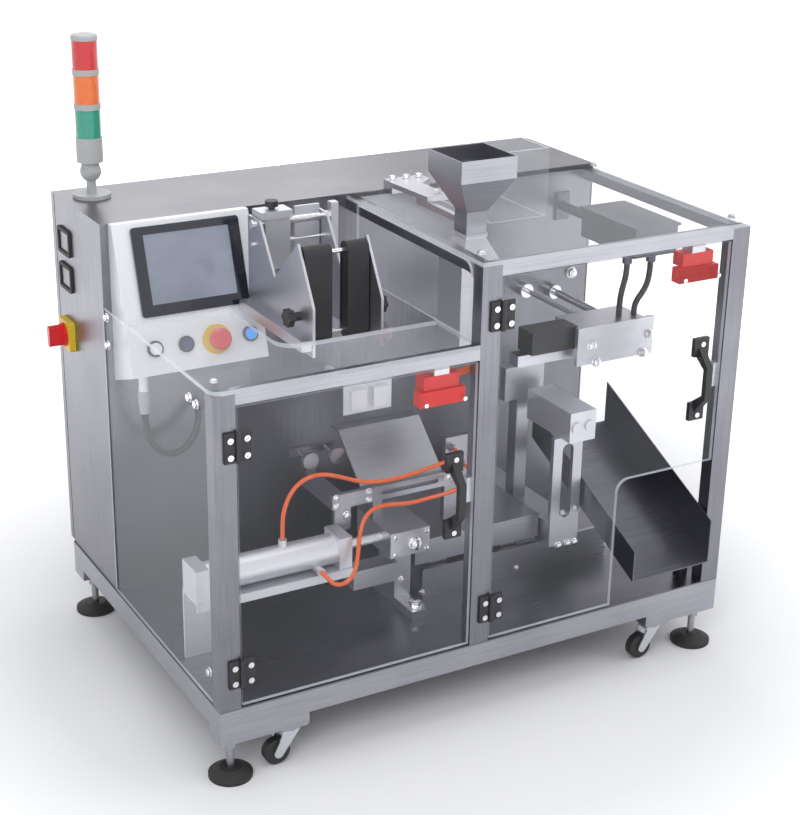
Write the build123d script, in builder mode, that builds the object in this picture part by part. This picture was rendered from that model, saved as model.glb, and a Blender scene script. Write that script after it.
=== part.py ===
from build123d import *
from math import radians, tan
import os

# Compact pouch packing machine, in millimetres.
# The origin is on the floor under the middle of the whole machine's outline.
# +X runs along the front to the right, +Y runs to the rear cabinet, +Z is up.
# Inside the machine, X is measured from the base's left side, Y from its front
# side and Z from the deck, the top of the floor sheet.

os.makedirs("parts", exist_ok=True)

# Base
base_width = 1090
base_depth = 750
base_rail = 40
base_rail_height = 44
floor_thickness = 3
ground_clearance = 104

# Mounting bars, feet and castors
bar_length = 172
bar_depth = 52
bar_height = 23
foot_inset = 30
pad_radius = 40
pad_rim = 7
pad_height = 18
hex_height = 22
hex_radius = 12
stem_radius = 7
castor_inset = 142
castor_plate = 52
castor_plate_thickness = 3
race_radius = 19
race_height = 8
kingpin_radius = 5
crown_thickness = 4
crown_length = 36
fork_gap = 25
cheek_thickness = 3
cheek_boss = 9
wheel_radius = 25
wheel_width = 20
wheel_edge = 2
wheel_lift = 2
wheel_trail = 25
axle_radius = 3
axle_end = 2
running_gap = 0.3

# Guard frame
post_width = 40
post_depth = 30
guard_rail = 20
low_height = 585
tall_height = 733
middle_post_left = 504
panel_thickness = 5
panel_lift = 3
top_sheet = 8
strip_depth = 148
strip_width = 195
strip_gap = 30
sheet_corner = 40
tall_panel_front = 32
tall_panel_to_cabinet = 52
tall_panel_lift = 2

# Rear cabinet
cabinet_depth = 250
cabinet_height = 743
cabinet_inset = 2
seal_thickness = 3
seal_inset = 6
rear_door_thickness = 16
rear_door_split = 487
rear_door_gap = 4
rear_door_margin = 4

# Left side of the cabinet
port_width = 66
port_height = 52
port_frame = 7
port_thickness = 5
port_flap = 2
port_to_rear = 53
upper_port_level = 660
lower_port_level = 589
switch_plate = 60
switch_thickness = 12
switch_to_rear = 50
switch_level = 473
switch_disc_radius = 23
switch_disc = 6
switch_grip_width = 14
switch_grip_reach = 26
switch_grip_inset = 3

# Stack light
stack_x = 58
stack_to_rear = 57
stack_radius = 25
disc_radius = 36
disc_height = 7
neck_radius = 9
neck_height = 23
knuckle_radius = 20
knuckle_height = 38
stack_body_height = 47
lens_height = 53
lens_inset = 1
collar_height = 11
cap_height = 10
cap_bevel = 3

# Control box
box_left = 18
box_width = 270
box_reach = 100
box_top_reach = 15
box_face_level = 477
box_bottom_level = 441
screen_width = 212
screen_height = 164
screen_thickness = 6
screen_u = 139
screen_v = 188
display_width = 168
display_height = 128
display_v = 191
display_depth = 1
button_v = 48
start_u = 48
mode_u = 109
reset_u = 238
button_ring = 15
button_radius = 11
button_ring_height = 6
button_proud = 3.5
button_float = 3.5
stop_u = 170
stop_collar = 28
stop_collar_height = 4
stop_sleeve = 15
stop_sleeve_height = 12
stop_stem = 10
stop_float = 6
stop_head = 20
stop_head_level = 17
stop_head_height = 14
connector_x = 47
connector_reach = 70
connector_radius = 9
connector_bottom = 395
nut_radius = 11
nut_bottom = 412
nut_top = 440

# Doors
door_thickness = 8
door_gap = 3
door_sill = 4
chute_notch_left_to_post = 226
chute_notch_level = 268
notch_radius = 26
hinge_height = 54
hinge_leaf = 24
hinge_thickness = 5
hinge_knuckle = 5
hinge_axis = 6
hinge_clear = 0.5
hinge_pin = 2.5
hinge_low_level = 43
hinge_high_gap = 41
handle_height = 165
handle_foot = 36
handle_foot_depth = 9
handle_width = 34
handle_bar_width = 14
handle_standoff = 38
handle_grip = 11
handle_slope = 30
left_handle_x = 455
left_handle_level = 237
right_handle_x_to_post = 59
right_handle_level = 366
guard_switch_width = 70
guard_switch_height = 25
guard_switch_depth = 30
guard_switch_y = 14
guard_switch_drop = 20
guard_switch_bracket = 30
guard_switch_gap = 1
actuator_width = 90
actuator_height = 28
actuator_depth = 24
left_guard_switch_x = 436
right_guard_switch_x_to_post = 67
catch_height = 48
catch_depth = 12
left_catch_level = 292
right_catch_level = 420

# Hopper, shield and bracket
hopper_x = 588
hopper_y = 180
hopper_rim = 115
hopper_rim_level = 845
hopper_top = 885
hopper_neck = 42
hopper_neck_level = 781
hopper_wall = 2
spout_size = 80
spout_neck_level = 731
spout_level = 693
spout_bottom = 533
neck_clearance = 2
shield_left = 647
shield_right = 770
shield_front = 204
shield_to_cabinet = 59
shield_height = 129
hanger_bar_width = 12
hanger_bar_height = 12
hanger_bar_rear = 386
hanger_plate_front = 345
hanger_plate_thickness = 10
hanger_plate_left = 586
hanger_plate_right = 670
hanger_tip_left = 594
hanger_tip_right = 640
hanger_block_depth = 34

# Pouch magazine
magazine_left = 255
magazine_right = 395
magazine_plate = 5
magazine_front = 150
magazine_clearance = 14
magazine_foot_rise = -24
magazine_chin_rise = 65
magazine_tooth_y = 209
magazine_tooth_rise = 166
magazine_notch_y = 304
magazine_notch_rise = 78
magazine_back_length = 48
magazine_top_rise = 168
magazine_bar_width = 20
magazine_bar_level_rise = -12
left_belt_width = 53
right_belt_width = 42
belt_thickness = 2.5
belt_margin = 2
roller_radius = 13
roller_y = 208
upper_roller_level_rise = 145
lower_roller_level_rise = -2
bed_thickness = 20
shaft_to_rear = 23
shaft_level_rise = 156
shaft_radius = 8
shaft_overhang = 15
lower_shaft_level_rise = 118
lower_shaft_radius = 4
clamp_left = 275
clamp_width = 50
clamp_depth = 20
clamp_bottom_rise = 68
clamp_top_rise = 180
clamp_cap = 14
plate_clamp_left = 338
plate_clamp_thickness = 6
clamp_knob_x = 292
clamp_knob_radius = 12
clamp_knob_height = 16
star_knob_radius = 17
star_knob_thickness = 12
star_knob_y = 200
star_knob_level_rise = 38
star_knob_hub = 8
star_knob_reach = 28

# Right bay
guide_a_x_to_post = 127
guide_a_level = 491
guide_a_radius = 5
guide_b_x_to_post = 55
guide_b_level = 478
guide_b_radius = 8
guide_flange = 15
guide_flange_length = 20
head_front = 200
head_left_to_post = 193
head_right_to_post = 10
head_bottom = 426
head_height = 78
head_plate = 10
head_body_start_to_post = 180
head_body_right_to_post = 20
head_body_rear = 300
head_body_bottom = 433
head_body_top = 498
side_arm_left_to_post = 310
side_arm_front = 232
side_arm_rear = 262
side_arm_top = 456
pad_left_to_post = 285
pad_block_height = 46
junction_left_to_post = 78
junction_width = 102
junction_front = 190
junction_depth = 180
junction_bottom = 633
junction_height = 56
junction_lid = 5
junction_lid_overhang = 4
arm_x_to_post = 38
arm_level = 660
arm_radius = 10
arm_flange_width = 32
arm_flange_height = 58
arm_flange_thickness = 6
gland_radius = 10
gland_height = 22
left_gland_x_to_post = 60
left_gland_y = 235
right_gland_x_to_post = 10
right_gland_y = 225
chute_left_to_post = 190
chute_right_to_post = 4
chute_wall = 2
chute_overhang = 20
chute_rear = 345
chute_front_level = 56
chute_rear_level = 224
chute_left_wall = 62
chute_right_wall = 88
chute_leg_width = 20
chute_leg_y = 40
platform_left = 500
platform_right_to_post = 265
platform_front = 200
platform_rear = 400
platform_level = 75
platform_height = 50
platform_leg = 40
platform_leg_setback = 15
skirt_left = 518
skirt_right_to_post = 95
skirt_height = 61
skirt_thickness = 8
rail_left_to_post = 260
rail_width = 60
rail_height = 52
rail_front = 170
upright_left_to_post = 264
upright_width = 68
upright_thickness = 10
upright_bottom = 66
upright_top = 300
upright_slot = 26
upright_slot_bottom = 125
upright_slot_top = 285
grip_left_to_post = 250
grip_width = 60
grip_front = 130
grip_depth = 150
grip_height = 62
grip_port_radius = 11
grip_port_depth = 4
column_left_to_post = 254
column_width = 28
column_y = 310
column_depth = 30
column_top = 330
transfer_left_to_post = 285
transfer_width = 92
transfer_height = 70

# Left bay
cylinder_left = 20
cylinder_right = 330
cylinder_radius = 29
cylinder_y = 170
cylinder_level = 172
cylinder_cap = 26
cylinder_cap_half = 31
rod_radius = 9
rod_end = 406
angle_width = 70
angle_thickness = 5
angle_foot = 60
angle_lip = 17
clamp_rail_left = 455
clamp_rail_right = 487
clamp_rail_front = 130
clamp_rail_back = 286
clamp_rail_height = 18
clamp_head_left = 406
clamp_head_right = 490
clamp_web_front = 199
clamp_web_back = 262
clamp_head_bottom = 143
clamp_head_front = 130
clamp_arm_left = 358
clamp_arm_front = 185
clamp_arm_back = 225
clamp_arm_bottom = 62
clamp_arm_top = 101
clamp_head_top = 193
slotted_left = 320
slotted_right = 572
slotted_bottom = 232
slotted_height = 29
slotted_thickness = 10
slotted_y = 200
wing_width = 44
wing_depth = 120
wing_height = 10
hanger_inset = 10
hanger_drop = 50
plunger_bar_left = 296
plunger_bar_length = 88
plunger_bar_height = 16
plunger_level = 306
plunger_radius = 16
plunger_rod = 3
plunger_reach = 50
plunger_disc = 9
slot_left = 424
slot_right = 548
slot_width = 9
tilted_left = 384
tilted_right = 560
tilted_front = 214
tilted_rear = 300
tilted_bottom = 262
tilted_top = 341
tilted_thickness = 3
tilted_flange = 30
gauge_left = 411
gauge_width = 104
gauge_height = 62
gauge_level = 358
gauge_y = 330
gauge_plate = 3
gauge_arm = 12
gauge_body_width = 34
gauge_body_height = 40
gauge_body_depth = 12
gauge_pitch = 48
valve_post_left = 600
valve_post_width = 50
valve_post_depth = 14
valve_post_y = 262
valve_post_top = 300

# Tube fittings and cables
fitting_radius = 8
fitting_length = 12
upper_fitting_x = 614
upper_fitting_level = 278
lower_fitting_x = 638
lower_fitting_level = 240
cylinder_fitting_x = 203
under_fitting_x = 262
under_fitting_level = 150
control_cable = 13
carriage_cable = 12
air_tube = 8
hose_bundle = 14

# Places worked out from the sizes above
reach_left = switch_thickness + running_gap + switch_disc + switch_grip_reach - cabinet_inset
reach_right = pad_radius - foot_inset
reach_front = max(handle_standoff, chute_overhang)
reach_rear = seal_thickness + rear_door_thickness
left = (reach_left - base_width - reach_right) / 2
front = (reach_front - base_depth - reach_rear) / 2
deck = ground_clearance + base_rail_height + floor_thickness
base_bottom = -base_rail_height - floor_thickness
bar_bottom = base_bottom - bar_height
floor = -deck
cabinet_y = base_depth - cabinet_depth
middle_post_right = middle_post_left + post_width
right_post = base_width - post_width
guide_a_x = right_post - guide_a_x_to_post
guide_b_x = right_post - guide_b_x_to_post
head_left = right_post - head_left_to_post
head_right = right_post - head_right_to_post
head_body_start = right_post - head_body_start_to_post
head_body_right = right_post - head_body_right_to_post
side_arm_left = right_post - side_arm_left_to_post
pad_left = right_post - pad_left_to_post
junction_left = right_post - junction_left_to_post
arm_x = right_post - arm_x_to_post
left_gland_x = right_post - left_gland_x_to_post
right_gland_x = right_post - right_gland_x_to_post
chute_left = right_post - chute_left_to_post
chute_right = right_post - chute_right_to_post
platform_right = right_post - platform_right_to_post
skirt_right = right_post - skirt_right_to_post
rail_left = right_post - rail_left_to_post
upright_left = right_post - upright_left_to_post
grip_left = right_post - grip_left_to_post
column_left = right_post - column_left_to_post
transfer_left = right_post - transfer_left_to_post
right_handle_x = right_post - right_handle_x_to_post
right_guard_switch_x = right_post - right_guard_switch_x_to_post
chute_notch_left = right_post - chute_notch_left_to_post
magazine_foot = low_height + magazine_foot_rise
magazine_chin = low_height + magazine_chin_rise
magazine_tooth = low_height + magazine_tooth_rise
magazine_notch = low_height + magazine_notch_rise
magazine_top = low_height + magazine_top_rise
magazine_bar_level = low_height + magazine_bar_level_rise
upper_roller_level = low_height + upper_roller_level_rise
lower_roller_level = low_height + lower_roller_level_rise
shaft_level = low_height + shaft_level_rise
lower_shaft_level = low_height + lower_shaft_level_rise
clamp_bottom = low_height + clamp_bottom_rise
clamp_top = low_height + clamp_top_rise
star_knob_level = low_height + star_knob_level_rise
box_face_y = cabinet_y - box_reach
box_top_y = cabinet_y - box_top_reach
connector_y = cabinet_y - connector_reach
strip_reach = box_face_y - strip_gap
shield_rear = cabinet_y - shield_to_cabinet
tall_panel_rear = cabinet_y - tall_panel_to_cabinet
stack_y = base_depth - stack_to_rear
port_y = base_depth - port_to_rear
switch_y = base_depth - switch_to_rear
corners = {
    "front_left": (0, 1, 0, 1),
    "front_right": (base_width, -1, 0, 1),
    "rear_left": (0, 1, base_depth, -1),
    "rear_right": (base_width, -1, base_depth, -1),
}


def box_front(z):
    """Gives the depth of the control box's face at height z."""
    slope = (box_top_y - box_face_y) / (cabinet_height - box_face_level)
    return box_face_y + (z - box_face_level) * slope


magazine_rear = box_front(magazine_foot) - magazine_clearance
magazine_back_y = magazine_rear - magazine_back_length
shaft_y = magazine_rear - shaft_to_rear


def level(z):
    """Gives the level plane at height z over the deck."""
    return Plane(origin=(left, front, deck + z))


def facing(y):
    """Gives the upright plane at depth y that faces the front."""
    return Plane(origin=(left, front + y, deck), x_dir=(1, 0, 0), z_dir=(0, -1, 0))


def sideways(x):
    """Gives the upright plane at x that faces the right side."""
    return Plane(origin=(left + x, front, deck), x_dir=(0, 1, 0), z_dir=(1, 0, 0))


def block(x, y, z, mode=Mode.ADD):
    """Adds a box between two X, two Y and two Z values to the open part."""
    with Locations((left + x[0], front + y[0], deck + z[0])):
        Box(x[1] - x[0], y[1] - y[0], z[1] - z[0], align=(Align.MIN,) * 3, mode=mode)


def rod(plane, centre, radius, length, mode=Mode.ADD):
    """Adds a round bar that stands on a plane to the open part."""
    with BuildSketch(plane) as section:
        with Locations(centre):
            Circle(radius)
    extrude(section.sketch, amount=length, mode=mode)


def slab(plane, length, points, mode=Mode.ADD):
    """Adds a plate of a straight-sided outline to the open part."""
    with BuildSketch(plane) as outline:
        with BuildLine():
            Polyline(*points, close=True)
        make_face()
    extrude(outline.sketch, amount=length, mode=mode)


def corner_point(corner, inset_x, inset_y):
    """Gives the point that lies inset from one corner of the base."""
    x, toward_x, y, toward_y = corner
    return x + toward_x * inset_x, y + toward_y * inset_y


def route_radii(points):
    """Gives each bend: 0.45 of the shorter run over the tangent of half the turn."""
    places = [Vector(*point) for point in points]
    radii = []
    for before, here, after in zip(places, places[1:], places[2:]):
        turn = (here - before).get_angle(after - here)
        run = min((here - before).length, (after - here).length)
        radii.append(0.45 * run / tan(radians(turn / 2)))
    return radii


def write_cord(name, points, diameter):
    """Sweeps a round cord along straight runs joined by tangent arcs and writes it."""
    radii = route_radii(points)
    places = [(left + x, front + y, deck + z) for x, y, z in points]
    start = Vector(*places[0])
    with BuildPart() as cord:
        with BuildLine() as route:
            FilletPolyline(*places, radius=radii)
        with BuildSketch(Plane(origin=start, z_dir=Vector(*places[1]) - start)) as section:
            Circle(diameter / 2)
        sweep(section.sketch, path=route.wire())
    cord.part.label = name
    export_step(cord.part, f"parts/{name}.step")
    share = cord.part.volume / (section.sketch.area * route.wire().length)
    print(name, "radii", [round(radius) for radius in radii], "volume share", round(share, 4))


# Base: rails welded in a ring, and the floor sheet on them
with BuildPart() as base_frame:
    block((0, base_width), (0, base_depth), (base_bottom, -floor_thickness))
    block(
        (base_rail, base_width - base_rail),
        (base_rail, base_depth - base_rail),
        (base_bottom, -floor_thickness),
        mode=Mode.SUBTRACT,
    )
base_frame.part.label = "base_frame"
export_step(base_frame.part, "parts/base_frame.step")

with BuildPart() as floor_sheet:
    block((0, base_width), (0, base_depth), (-floor_thickness, 0))
floor_sheet.part.label = "floor_sheet"
export_step(floor_sheet.part, "parts/floor_sheet.step")

# Mounting bars, each with a foot stem, a castor plate, its race and its kingpin
race_bottom = bar_bottom - castor_plate_thickness - race_height
crown_top = race_bottom - running_gap
crown_bottom = crown_top - crown_thickness
pad_top = floor + pad_height
with BuildPart() as mounting_bars:
    for corner in corners.values():
        bar_x, bar_y = corner_point(corner, bar_length / 2, bar_depth / 2)
        foot = corner_point(corner, foot_inset, foot_inset)
        pivot_x, pivot_y = corner_point(corner, castor_inset, bar_depth / 2)
        block(
            (bar_x - bar_length / 2, bar_x + bar_length / 2),
            (bar_y - bar_depth / 2, bar_y + bar_depth / 2),
            (bar_bottom, base_bottom),
        )
        block(
            (pivot_x - castor_plate / 2, pivot_x + castor_plate / 2),
            (pivot_y - castor_plate / 2, pivot_y + castor_plate / 2),
            (bar_bottom - castor_plate_thickness, bar_bottom),
        )
        rod(level(race_bottom), (pivot_x, pivot_y), race_radius, race_height)
        rod(level(crown_bottom), (pivot_x, pivot_y), kingpin_radius, crown_thickness + 1)
        rod(level(pad_top), foot, stem_radius, bar_bottom - pad_top)
        with BuildSketch(level(bar_bottom - hex_height)):
            with Locations(foot):
                RegularPolygon(hex_radius, 6)
        extrude(amount=hex_height)
mounting_bars.part.label = "mounting_bars"
export_step(mounting_bars.part, "parts/mounting_bars.step")

# Round foot pads, turned
with BuildPart() as foot_pads:
    for corner in corners.values():
        foot_x, foot_y = corner_point(corner, foot_inset, foot_inset)
        with BuildSketch(facing(foot_y)):
            with BuildLine():
                Polyline(
                    (foot_x, floor),
                    (foot_x + pad_radius, floor),
                    (foot_x + pad_radius, floor + pad_rim),
                    (foot_x + pad_radius / 2, pad_top),
                    (foot_x, pad_top),
                    close=True,
                )
            make_face()
        revolve(axis=Axis((left + foot_x, front + foot_y, 0), (0, 0, 1)))
foot_pads.part.label = "foot_pads"
export_step(foot_pads.part, "parts/foot_pads.step")

# Castor forks and wheels, all trailing to the left
axle_level = floor + wheel_lift + wheel_radius
fork_half = fork_gap / 2 + cheek_thickness
for name, corner in corners.items():
    pivot_x, pivot_y = corner_point(corner, castor_inset, bar_depth / 2)
    axle_x = pivot_x - wheel_trail
    with BuildPart() as castor_fork:
        with BuildSketch(level(crown_bottom)):
            with Locations((pivot_x, pivot_y)):
                RectangleRounded(crown_length, 2 * fork_half, 4)
                Circle(kingpin_radius + running_gap, mode=Mode.SUBTRACT)
        extrude(amount=crown_thickness)
        for cheek_y in (pivot_y - fork_gap / 2, pivot_y + fork_half):
            with BuildSketch(facing(cheek_y)):
                with Locations((pivot_x, crown_bottom + crown_thickness / 4)):
                    Rectangle(crown_length - 8, crown_thickness / 2)
                with Locations((axle_x, axle_level)):
                    Circle(cheek_boss)
                make_hull()
            extrude(amount=cheek_thickness)
        axle_length = 2 * (fork_half + axle_end)
        rod(facing(pivot_y + fork_half + axle_end), (axle_x, axle_level), axle_radius, axle_length)
    castor_fork.part.label = f"castor_fork_{name}"
    export_step(castor_fork.part, f"parts/castor_fork_{name}.step")

    with BuildPart() as castor_wheel:
        rod(facing(pivot_y + wheel_width / 2), (axle_x, axle_level), wheel_radius, wheel_width)
        chamfer(castor_wheel.edges().filter_by(GeomType.CIRCLE), wheel_edge)
        rod(
            facing(pivot_y + wheel_width / 2),
            (axle_x, axle_level),
            axle_radius + running_gap,
            wheel_width,
            mode=Mode.SUBTRACT,
        )
    castor_wheel.part.label = f"castor_wheel_{name}"
    export_step(castor_wheel.part, f"parts/castor_wheel_{name}.step")

# Guard posts: front left, middle and front right
with BuildPart() as guard_posts:
    block((0, post_width), (0, post_depth), (0, low_height))
    block((middle_post_left, middle_post_right), (0, post_depth), (0, tall_height))
    block((right_post, base_width), (0, post_depth), (0, tall_height))
guard_posts.part.label = "guard_posts"
export_step(guard_posts.part, "parts/guard_posts.step")

# Guard rails, front ones between the posts and side ones back to the cabinet
with BuildPart() as guard_rails:
    low_rail = (low_height - guard_rail, low_height)
    tall_rail = (tall_height - guard_rail, tall_height)
    side_run = (post_depth, cabinet_y)
    block((post_width, middle_post_left), (0, post_depth), low_rail)
    block((middle_post_right, right_post), (0, post_depth), tall_rail)
    block((middle_post_left, middle_post_left + post_depth), side_run, tall_rail)
    block((base_width - post_depth, base_width - panel_thickness), side_run, tall_rail)
guard_rails.part.label = "guard_rails"
export_step(guard_rails.part, "parts/guard_rails.step")

# Clear side panels: left, tall left and right
with BuildPart() as side_panels:
    block((0, panel_thickness), side_run, (panel_lift, low_height))
    block(
        (base_width - panel_thickness, base_width),
        side_run,
        (panel_lift, tall_height),
    )
    tall_panel_x = middle_post_left - panel_thickness
    with BuildSketch(sideways(tall_panel_x)) as tall_panel:
        with BuildLine():
            Polyline(
                (tall_panel_front, low_height + top_sheet + tall_panel_lift),
                (tall_panel_rear, low_height + top_sheet + tall_panel_lift),
                (tall_panel_rear, tall_height),
                (tall_panel_front, tall_height),
                close=True,
            )
        make_face()
        panel_corner = Vector(tall_panel_front, tall_height)
        fillet(tall_panel.vertices().sort_by_distance(panel_corner)[0], sheet_corner / 2)
    extrude(amount=panel_thickness)
side_panels.part.label = "side_panels"
export_step(side_panels.part, "parts/side_panels.step")

# Clear top sheets: a low one round the magazine and a tall one with the hopper's hole
with BuildPart() as top_sheets:
    with BuildSketch(level(low_height)) as low_sheet:
        with BuildLine():
            Polyline(
                (0, 0),
                (middle_post_left, 0),
                (middle_post_left, strip_depth),
                (strip_width, strip_depth),
                (strip_width, strip_reach),
                (0, strip_reach),
                close=True,
            )
        make_face()
        inner_corner = Vector(strip_width, strip_depth)
        fillet(low_sheet.vertices().sort_by_distance(inner_corner)[0], sheet_corner)
        fillet(low_sheet.vertices().sort_by_distance(Vector(0, 0))[0], sheet_corner / 2)
    extrude(amount=top_sheet)
    block((middle_post_left, base_width), (0, cabinet_y), (tall_height, tall_height + top_sheet))
    neck_hole = hopper_neck / 2 + neck_clearance
    block(
        (hopper_x - neck_hole, hopper_x + neck_hole),
        (hopper_y - neck_hole, hopper_y + neck_hole),
        (tall_height, tall_height + top_sheet),
        mode=Mode.SUBTRACT,
    )
top_sheets.part.label = "top_sheets"
export_step(top_sheets.part, "parts/top_sheets.step")

# Closed rear cabinet with the flaps of its two side ports
with BuildPart() as control_cabinet:
    block(
        (cabinet_inset, base_width - cabinet_inset),
        (cabinet_y, base_depth),
        (0, cabinet_height),
    )
    flap_half = port_width / 2 - port_frame
    flap_rise = port_height / 2 - port_frame
    for port_level in (upper_port_level, lower_port_level):
        block(
            (cabinet_inset - port_flap, cabinet_inset),
            (port_y - flap_half, port_y + flap_half),
            (port_level - flap_rise, port_level + flap_rise),
        )
control_cabinet.part.label = "control_cabinet"
export_step(control_cabinet.part, "parts/control_cabinet.step")

# Black seals: one behind each rear door and a frame round each side port
door_levels = (rear_door_margin, cabinet_height - rear_door_margin / 2)
door_spans = (
    (cabinet_inset, rear_door_split - rear_door_gap / 2),
    (rear_door_split + rear_door_gap / 2, base_width - cabinet_inset),
)
with BuildPart() as cabinet_seals:
    for span in door_spans:
        block(
            (span[0] + seal_inset, span[1] - seal_inset),
            (base_depth, base_depth + seal_thickness),
            (door_levels[0] + seal_inset, door_levels[1] - seal_inset),
        )
    for port_level in (upper_port_level, lower_port_level):
        with BuildSketch(sideways(cabinet_inset)):
            with Locations((port_y, port_level)):
                RectangleRounded(port_width, port_height, port_frame)
                Rectangle(2 * flap_half, 2 * flap_rise, mode=Mode.SUBTRACT)
        extrude(amount=-port_thickness)
cabinet_seals.part.label = "cabinet_seals"
export_step(cabinet_seals.part, "parts/cabinet_seals.step")

# Rear doors, closed
with BuildPart() as rear_doors:
    door_face = base_depth + seal_thickness
    for span in door_spans:
        block(span, (door_face, door_face + rear_door_thickness), door_levels)
rear_doors.part.label = "rear_doors"
export_step(rear_doors.part, "parts/rear_doors.step")

# Main switch on the cabinet's left side: plate and turning handle
with BuildPart() as isolator_plate:
    with BuildSketch(sideways(cabinet_inset)):
        with Locations((switch_y, switch_level)):
            RectangleRounded(switch_plate, switch_plate, 6)
    extrude(amount=-switch_thickness)
isolator_plate.part.label = "isolator_plate"
export_step(isolator_plate.part, "parts/isolator_plate.step")

with BuildPart() as isolator_handle:
    switch_face = cabinet_inset - switch_thickness - running_gap
    rod(sideways(switch_face), (switch_y, switch_level), switch_disc_radius, -switch_disc)
    with BuildSketch(sideways(switch_face - switch_disc)):
        with Locations((switch_y, switch_level)):
            SlotOverall(2 * switch_disc_radius - switch_grip_inset, switch_grip_width, rotation=90)
    extrude(amount=-switch_grip_reach)
isolator_handle.part.label = "isolator_handle"
export_step(isolator_handle.part, "parts/isolator_handle.step")

# Stack light: roof disc, neck, knuckle, body, collars and cap
body_bottom = cabinet_height + disc_height + neck_height + knuckle_height
knuckle_level = body_bottom - knuckle_height / 2
lens_bottom = body_bottom + stack_body_height
lens_step = lens_height + collar_height
stack_top = lens_bottom + 3 * lens_step - collar_height
stack_centre = (stack_x, stack_y)
with BuildPart() as stack_mount:
    rod(level(cabinet_height), stack_centre, disc_radius, disc_height)
    rod(level(cabinet_height), stack_centre, neck_radius, knuckle_level - cabinet_height)
    with Locations((left + stack_x, front + stack_y, deck + knuckle_level)):
        Sphere(knuckle_radius)
    rod(level(knuckle_level), stack_centre, knuckle_radius - 3, knuckle_height / 2)
    rod(level(body_bottom), stack_centre, stack_radius, stack_body_height)
    for step in (1, 2):
        collar = lens_bottom + step * lens_step - collar_height
        rod(level(collar), stack_centre, stack_radius, collar_height)
    rod(level(stack_top), stack_centre, stack_radius, cap_height)
    chamfer(stack_mount.faces().sort_by(Axis.Z)[-1].edges(), cap_bevel)
stack_mount.part.label = "stack_mount"
export_step(stack_mount.part, "parts/stack_mount.step")

with BuildPart() as stack_lenses:
    for step in (0, 1, 2):
        lens = lens_bottom + step * lens_step
        rod(level(lens), stack_centre, stack_radius - lens_inset, lens_height)
stack_lenses.part.label = "stack_lenses"
export_step(stack_lenses.part, "parts/stack_lenses.step")

# Wedge-shaped control box on the cabinet's front, with the cable connector under it
with BuildPart() as control_box:
    slab(
        sideways(box_left),
        box_width,
        [
            (box_top_y, cabinet_height),
            (box_face_y, box_face_level),
            (cabinet_y, box_bottom_level),
            (cabinet_y, cabinet_height),
        ],
    )
    connector = (connector_x, connector_y)
    rod(level(connector_bottom), connector, connector_radius, box_face_level - connector_bottom)
    rod(level(nut_bottom), connector, nut_radius, nut_top - nut_bottom)
control_box.part.label = "control_box"
export_step(control_box.part, "parts/control_box.step")

# The box's face: u runs to the right and v up the slope
face_run = box_top_y - box_face_y
face_rise = cabinet_height - box_face_level
face = Plane(
    origin=(left + box_left, front + box_face_y, deck + box_face_level),
    x_dir=(1, 0, 0),
    z_dir=(0, -face_rise, face_run),
)
with BuildPart() as touchscreen:
    with BuildSketch(face):
        with Locations((screen_u, screen_v)):
            RectangleRounded(screen_width, screen_height, 6)
    extrude(amount=screen_thickness)
    with BuildSketch(face.offset(screen_thickness)):
        with Locations((screen_u, display_v)):
            Rectangle(display_width, display_height)
    extrude(amount=-display_depth, mode=Mode.SUBTRACT)
touchscreen.part.label = "touchscreen"
export_step(touchscreen.part, "parts/touchscreen.step")

button_places = {"start_button": start_u, "mode_button": mode_u, "reset_button": reset_u}

# Bezel rings of the push buttons, and the stop button's collar with its sleeve
with BuildPart() as button_bezels:
    with BuildSketch(face):
        with Locations(*[(u, button_v) for u in button_places.values()]):
            Circle(button_ring)
            Circle(button_radius + running_gap, mode=Mode.SUBTRACT)
    extrude(amount=button_ring_height)
    for radius, height in ((stop_collar, stop_collar_height), (stop_sleeve, stop_sleeve_height)):
        rod(face, (stop_u, button_v), radius, height)
    rod(
        face,
        (stop_u, button_v),
        stop_stem + running_gap,
        stop_sleeve_height,
        mode=Mode.SUBTRACT,
    )
button_bezels.part.label = "button_bezels"
export_step(button_bezels.part, "parts/button_bezels.step")

# Push button caps
for name, u in button_places.items():
    with BuildPart() as button_cap:
        cap_length = button_ring_height + button_proud - button_float
        rod(face.offset(button_float), (u, button_v), button_radius, cap_length)
    button_cap.part.label = name
    export_step(button_cap.part, f"parts/{name}.step")

# Stop button: stem and mushroom head
with BuildPart() as stop_button:
    rod(face.offset(stop_float), (stop_u, button_v), stop_stem, stop_head_level - stop_float)
    rod(face.offset(stop_head_level), (stop_u, button_v), stop_head, stop_head_height)
    chamfer(stop_button.faces().sort_by(Axis(face.origin, face.z_dir))[-1].edges(), 4)
stop_button.part.label = "stop_button"
export_step(stop_button.part, "parts/stop_button.step")

# Clear doors between the posts
left_hinge_x = post_width + door_gap / 2
right_hinge_x = middle_post_right + door_gap / 2
left_door_top = low_height - guard_rail - door_gap - 1
right_door_top = tall_height - guard_rail - door_gap
left_hinge_levels = (hinge_low_level, left_door_top - hinge_high_gap - hinge_height)
right_hinge_levels = (hinge_low_level, right_door_top - hinge_high_gap - hinge_height)
left_door_right = middle_post_left - door_gap
right_door_right = right_post - door_gap
with BuildPart() as left_door:
    block(
        (post_width + door_gap, left_door_right),
        (0, door_thickness),
        (door_sill, left_door_top),
    )
left_door.part.label = "left_door"
export_step(left_door.part, "parts/left_door.step")

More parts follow.
